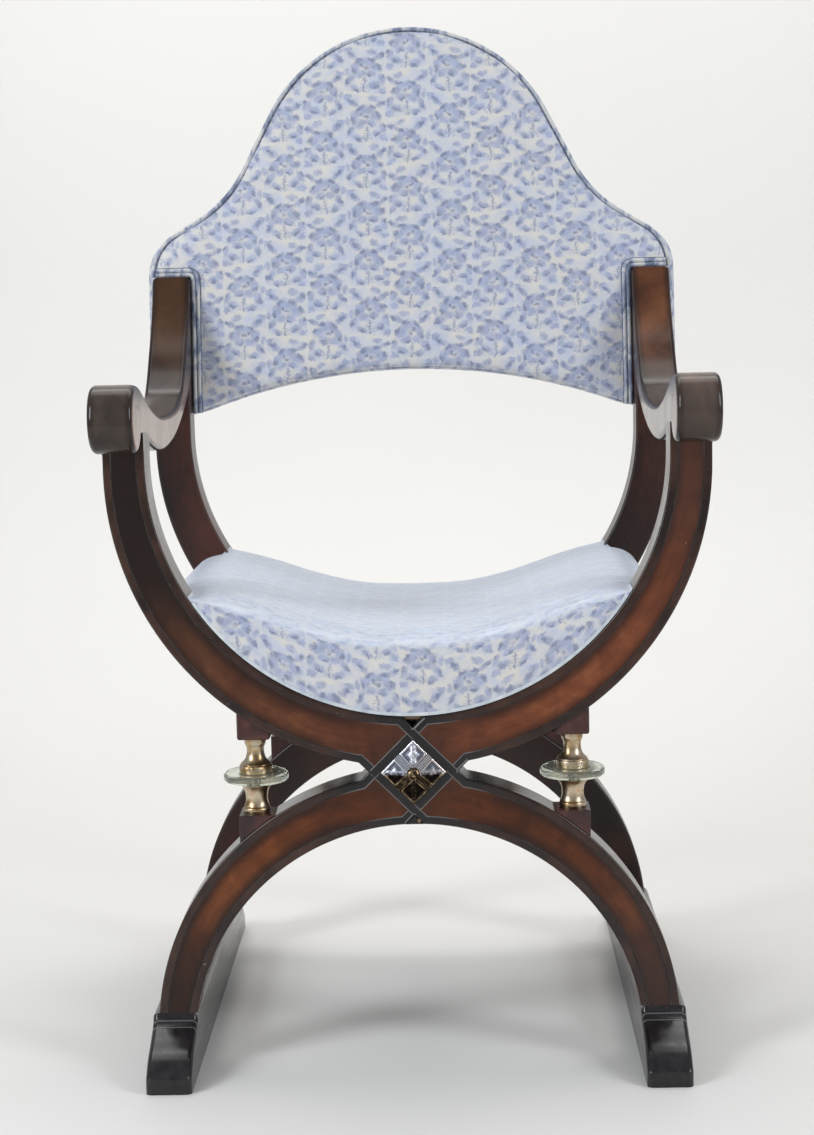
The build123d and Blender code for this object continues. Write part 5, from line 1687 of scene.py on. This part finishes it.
# The boxing and the outside back: one cover, full at the sides and crowned a little behind.
cover_thick, cover_mesh = 0.021, 0.005
cover_right = crown_line(0.0)
cover_outline = cover_right + foot_line(0.0, back_half)
cover_outline += [(-x, along) for x, along in reversed(cover_right) if x > 1e-6]
outside, spots = fine_solid("outside_back", cover_outline, cover_thick, cover_mesh)
reach, outward = rim_reach(spots, cover_outline)
depth = np.clip(spots[:, 1] / cover_thick, 0, 1)
low_side = np.clip((0.235 - spots[:, 2]) / 0.05, 0, 1) * (np.abs(spots[:, 0]) > 0.27)
low_side = low_side * low_side * (3 - 2 * low_side)
full = 0.0016 * (1 - depth) + 0.0060 * low_side * np.sin(pi * (0.18 + 0.72 * depth))
spots[:, [0, 2]] += outward * (full * np.exp(-reach / 0.006))[:, None]
behind = 0.0040 * (1 - np.exp(-((reach / 0.085) ** 2))) - 0.0035 * np.exp(-reach / 0.005)
quilt = 0.0004 * np.sin(spots[:, 0] * 43 + np.sin(spots[:, 2] * 17)) * depth
spots[:, 1] = -(spots[:, 1] + behind * depth + quilt)
put_on_back(outside, spots)
dress_in_satin(outside, unfold_back, "back_cover")


# ---------------------------------------------------------------- cords of the back
# Cord covered in bias-cut satin: piping sewn in round the edge, with a thin dark cord beside it
# as painted shadow in its seam's gap, and a double welt glued over the tacks beside each upright.
cord_satin = Finish("cord_satin", Base_Color=(0.55, 0.57, 0.60, 1), Roughness=0.5, Sheen_Weight=0.3)
cord_print = cord_satin.noise(cord_satin.place((75, 75, 30)), 1.0, 4, 0.62, 0.6)
cord_tone = cord_satin.ramp(
    cord_print,
    (0.38, (0.120, 0.150, 0.240)),
    (0.47, (0.310, 0.350, 0.450)),
    (0.55, (0.560, 0.565, 0.565)),
    (0.67, (0.640, 0.620, 0.570)),
)
twill_wires = {"Vector": cord_satin.place(), "Scale": 620.0, "Distortion": 1.0}
cord_twill = cord_satin.add("TexWave", twill_wires, bands_direction="DIAGONAL")
cord_satin.wear(Base_Color=cord_tone, Normal=cord_satin.bump(cord_twill, 0.3, 0.0003))
# A near-black finish for the thin cords laid in the gaps beside the piping and the welts: painted
# shadow.
seam_shadow_finish = Finish("seam_shadow", Base_Color=(0.05, 0.06, 0.09, 1), Roughness=0.9)
shadow_cord_fleck = seam_shadow_finish.noise(seam_shadow_finish.place(), 260, 3, 0.6)
seam_shadow_finish.wear(
    Base_Color=seam_shadow_finish.ramp(shadow_cord_fleck, (0.38, (0.045, 0.052, 0.082)), (0.62, (0.20, 0.22, 0.30)))
)


def covered_cord(name, routes, radius, finish, node):
    """Round cord along one or more routes of spots."""
    shape = bpy.data.curves.new(name, "CURVE")
    shape.dimensions = "3D"
    for route in routes:
        spline = shape.splines.new("POLY")
        spline.points.add(len(route) - 1)
        for place, (point, spot) in enumerate(zip(spline.points, route)):
            point.co = (*spot, 1.0)
            point.radius = 1 + 0.05 * sin(place * 0.83) * sin(place * 0.31)
    shape.bevel_depth = radius
    shape.bevel_resolution = 4
    shape.use_fill_caps = True
    cord = bpy.data.objects.new(name, shape)
    bpy.context.scene.collection.objects.link(cord)
    take_up(cord)
    bpy.ops.object.convert(target="MESH")
    cord = bpy.context.object
    settle(cord, 60.0, False)
    cord.data.materials.append(finish.material)
    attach(cord, "root")
    if node:
        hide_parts(node)


def even_line(points, gap):
    """The same line, with spots a gap apart or less."""
    line = []
    for (x_one, a_one), (x_two, a_two) in zip(points, points[1:]):
        wide, long = x_two - x_one, a_two - a_one
        count = max(1, round(hypot(wide, long) / gap))
        line += [(x_one + wide * k / count, a_one + long * k / count) for k in range(count)]
    return line + [points[-1]]


def edge_route(inset, proud, low):
    """Up one side of the back, over its crown and down the other side."""
    right = even_line(crown_line(inset) + [(back_half - inset, low)], 0.008)
    left = [on_back(-x, along, proud) for x, along in reversed(right)]
    return left + [on_back(x, along, proud) for x, along in right[1:]]


cord_end, shadow_cord_half = notch_top + 0.001, 0.0010
route = edge_route(0.0014, edge_proud + 0.0006, cord_end)
covered_cord("back_edge_piping", [route], 0.0023, cord_satin, "back_piping")
# A thin dark cord just inside the piping: painted shadow in the gap between the piping and the pad.
route = edge_route(0.0046, edge_proud + 0.0012, cord_end)
covered_cord("back_edge_seam_shadow", [route], shadow_cord_half, seam_shadow_finish, None)
side_out, side_foot, side_long = back_half + 0.0012, 0.003, 0.159
side_routes = [
    [on_back(hand * side_out, side_foot + side_long * step / 24, -0.0006) for step in range(25)]
    for hand in (-1, 1)
]
covered_cord("side_edge_piping", side_routes, 0.0020, cord_satin, None)
welt_pitch, welt_end = 0.0051, 0.3058  # from cord to cord, and where the welt ends sideways


def welt_route(hand, row, proud):
    """Up beside one upright and out over its top, so many cord widths from the notch's edge."""
    width = row * welt_pitch
    x_line, top, turn = notch_edge + 0.0006 - width, notch_top + width, 0.003 + width
    route = [(x_line, -0.001 + (top - turn + 0.001) * step / 26) for step in range(26)]
    for step in range(9):
        angle = pi - pi / 2 * step / 8
        route.append((x_line + turn + turn * cos(angle), top - turn + turn * sin(angle)))
    bend = x_line + turn
    route += [(bend + (welt_end - bend) * step / 8, top) for step in range(1, 9)]
    spots = []
    for x, along in route:
        tucked = 0.0045 * max(0.0, 1 - along / 0.014) ** 2
        spots.append(on_back(hand * x, along, proud - tucked))
    return spots


for hand, side in ((-1, "left"), (1, "right")):
    cords = [welt_route(hand, row, 0.0214) for row in (0.5, 1.5)]
    covered_cord(
        f"{side}_welt_cords", cords, 0.0025, cord_satin, f"{side}_double_welt"
    )
    # Thin dark cords beside and between the welt's two cords: painted shadow in their gaps.
    shadow_cords = [welt_route(hand, row, 0.0206) for row in (0.02, 1.0, 1.98)]
    covered_cord(f"{side}_welt_seam_shadows", shadow_cords, shadow_cord_half, seam_shadow_finish, None)
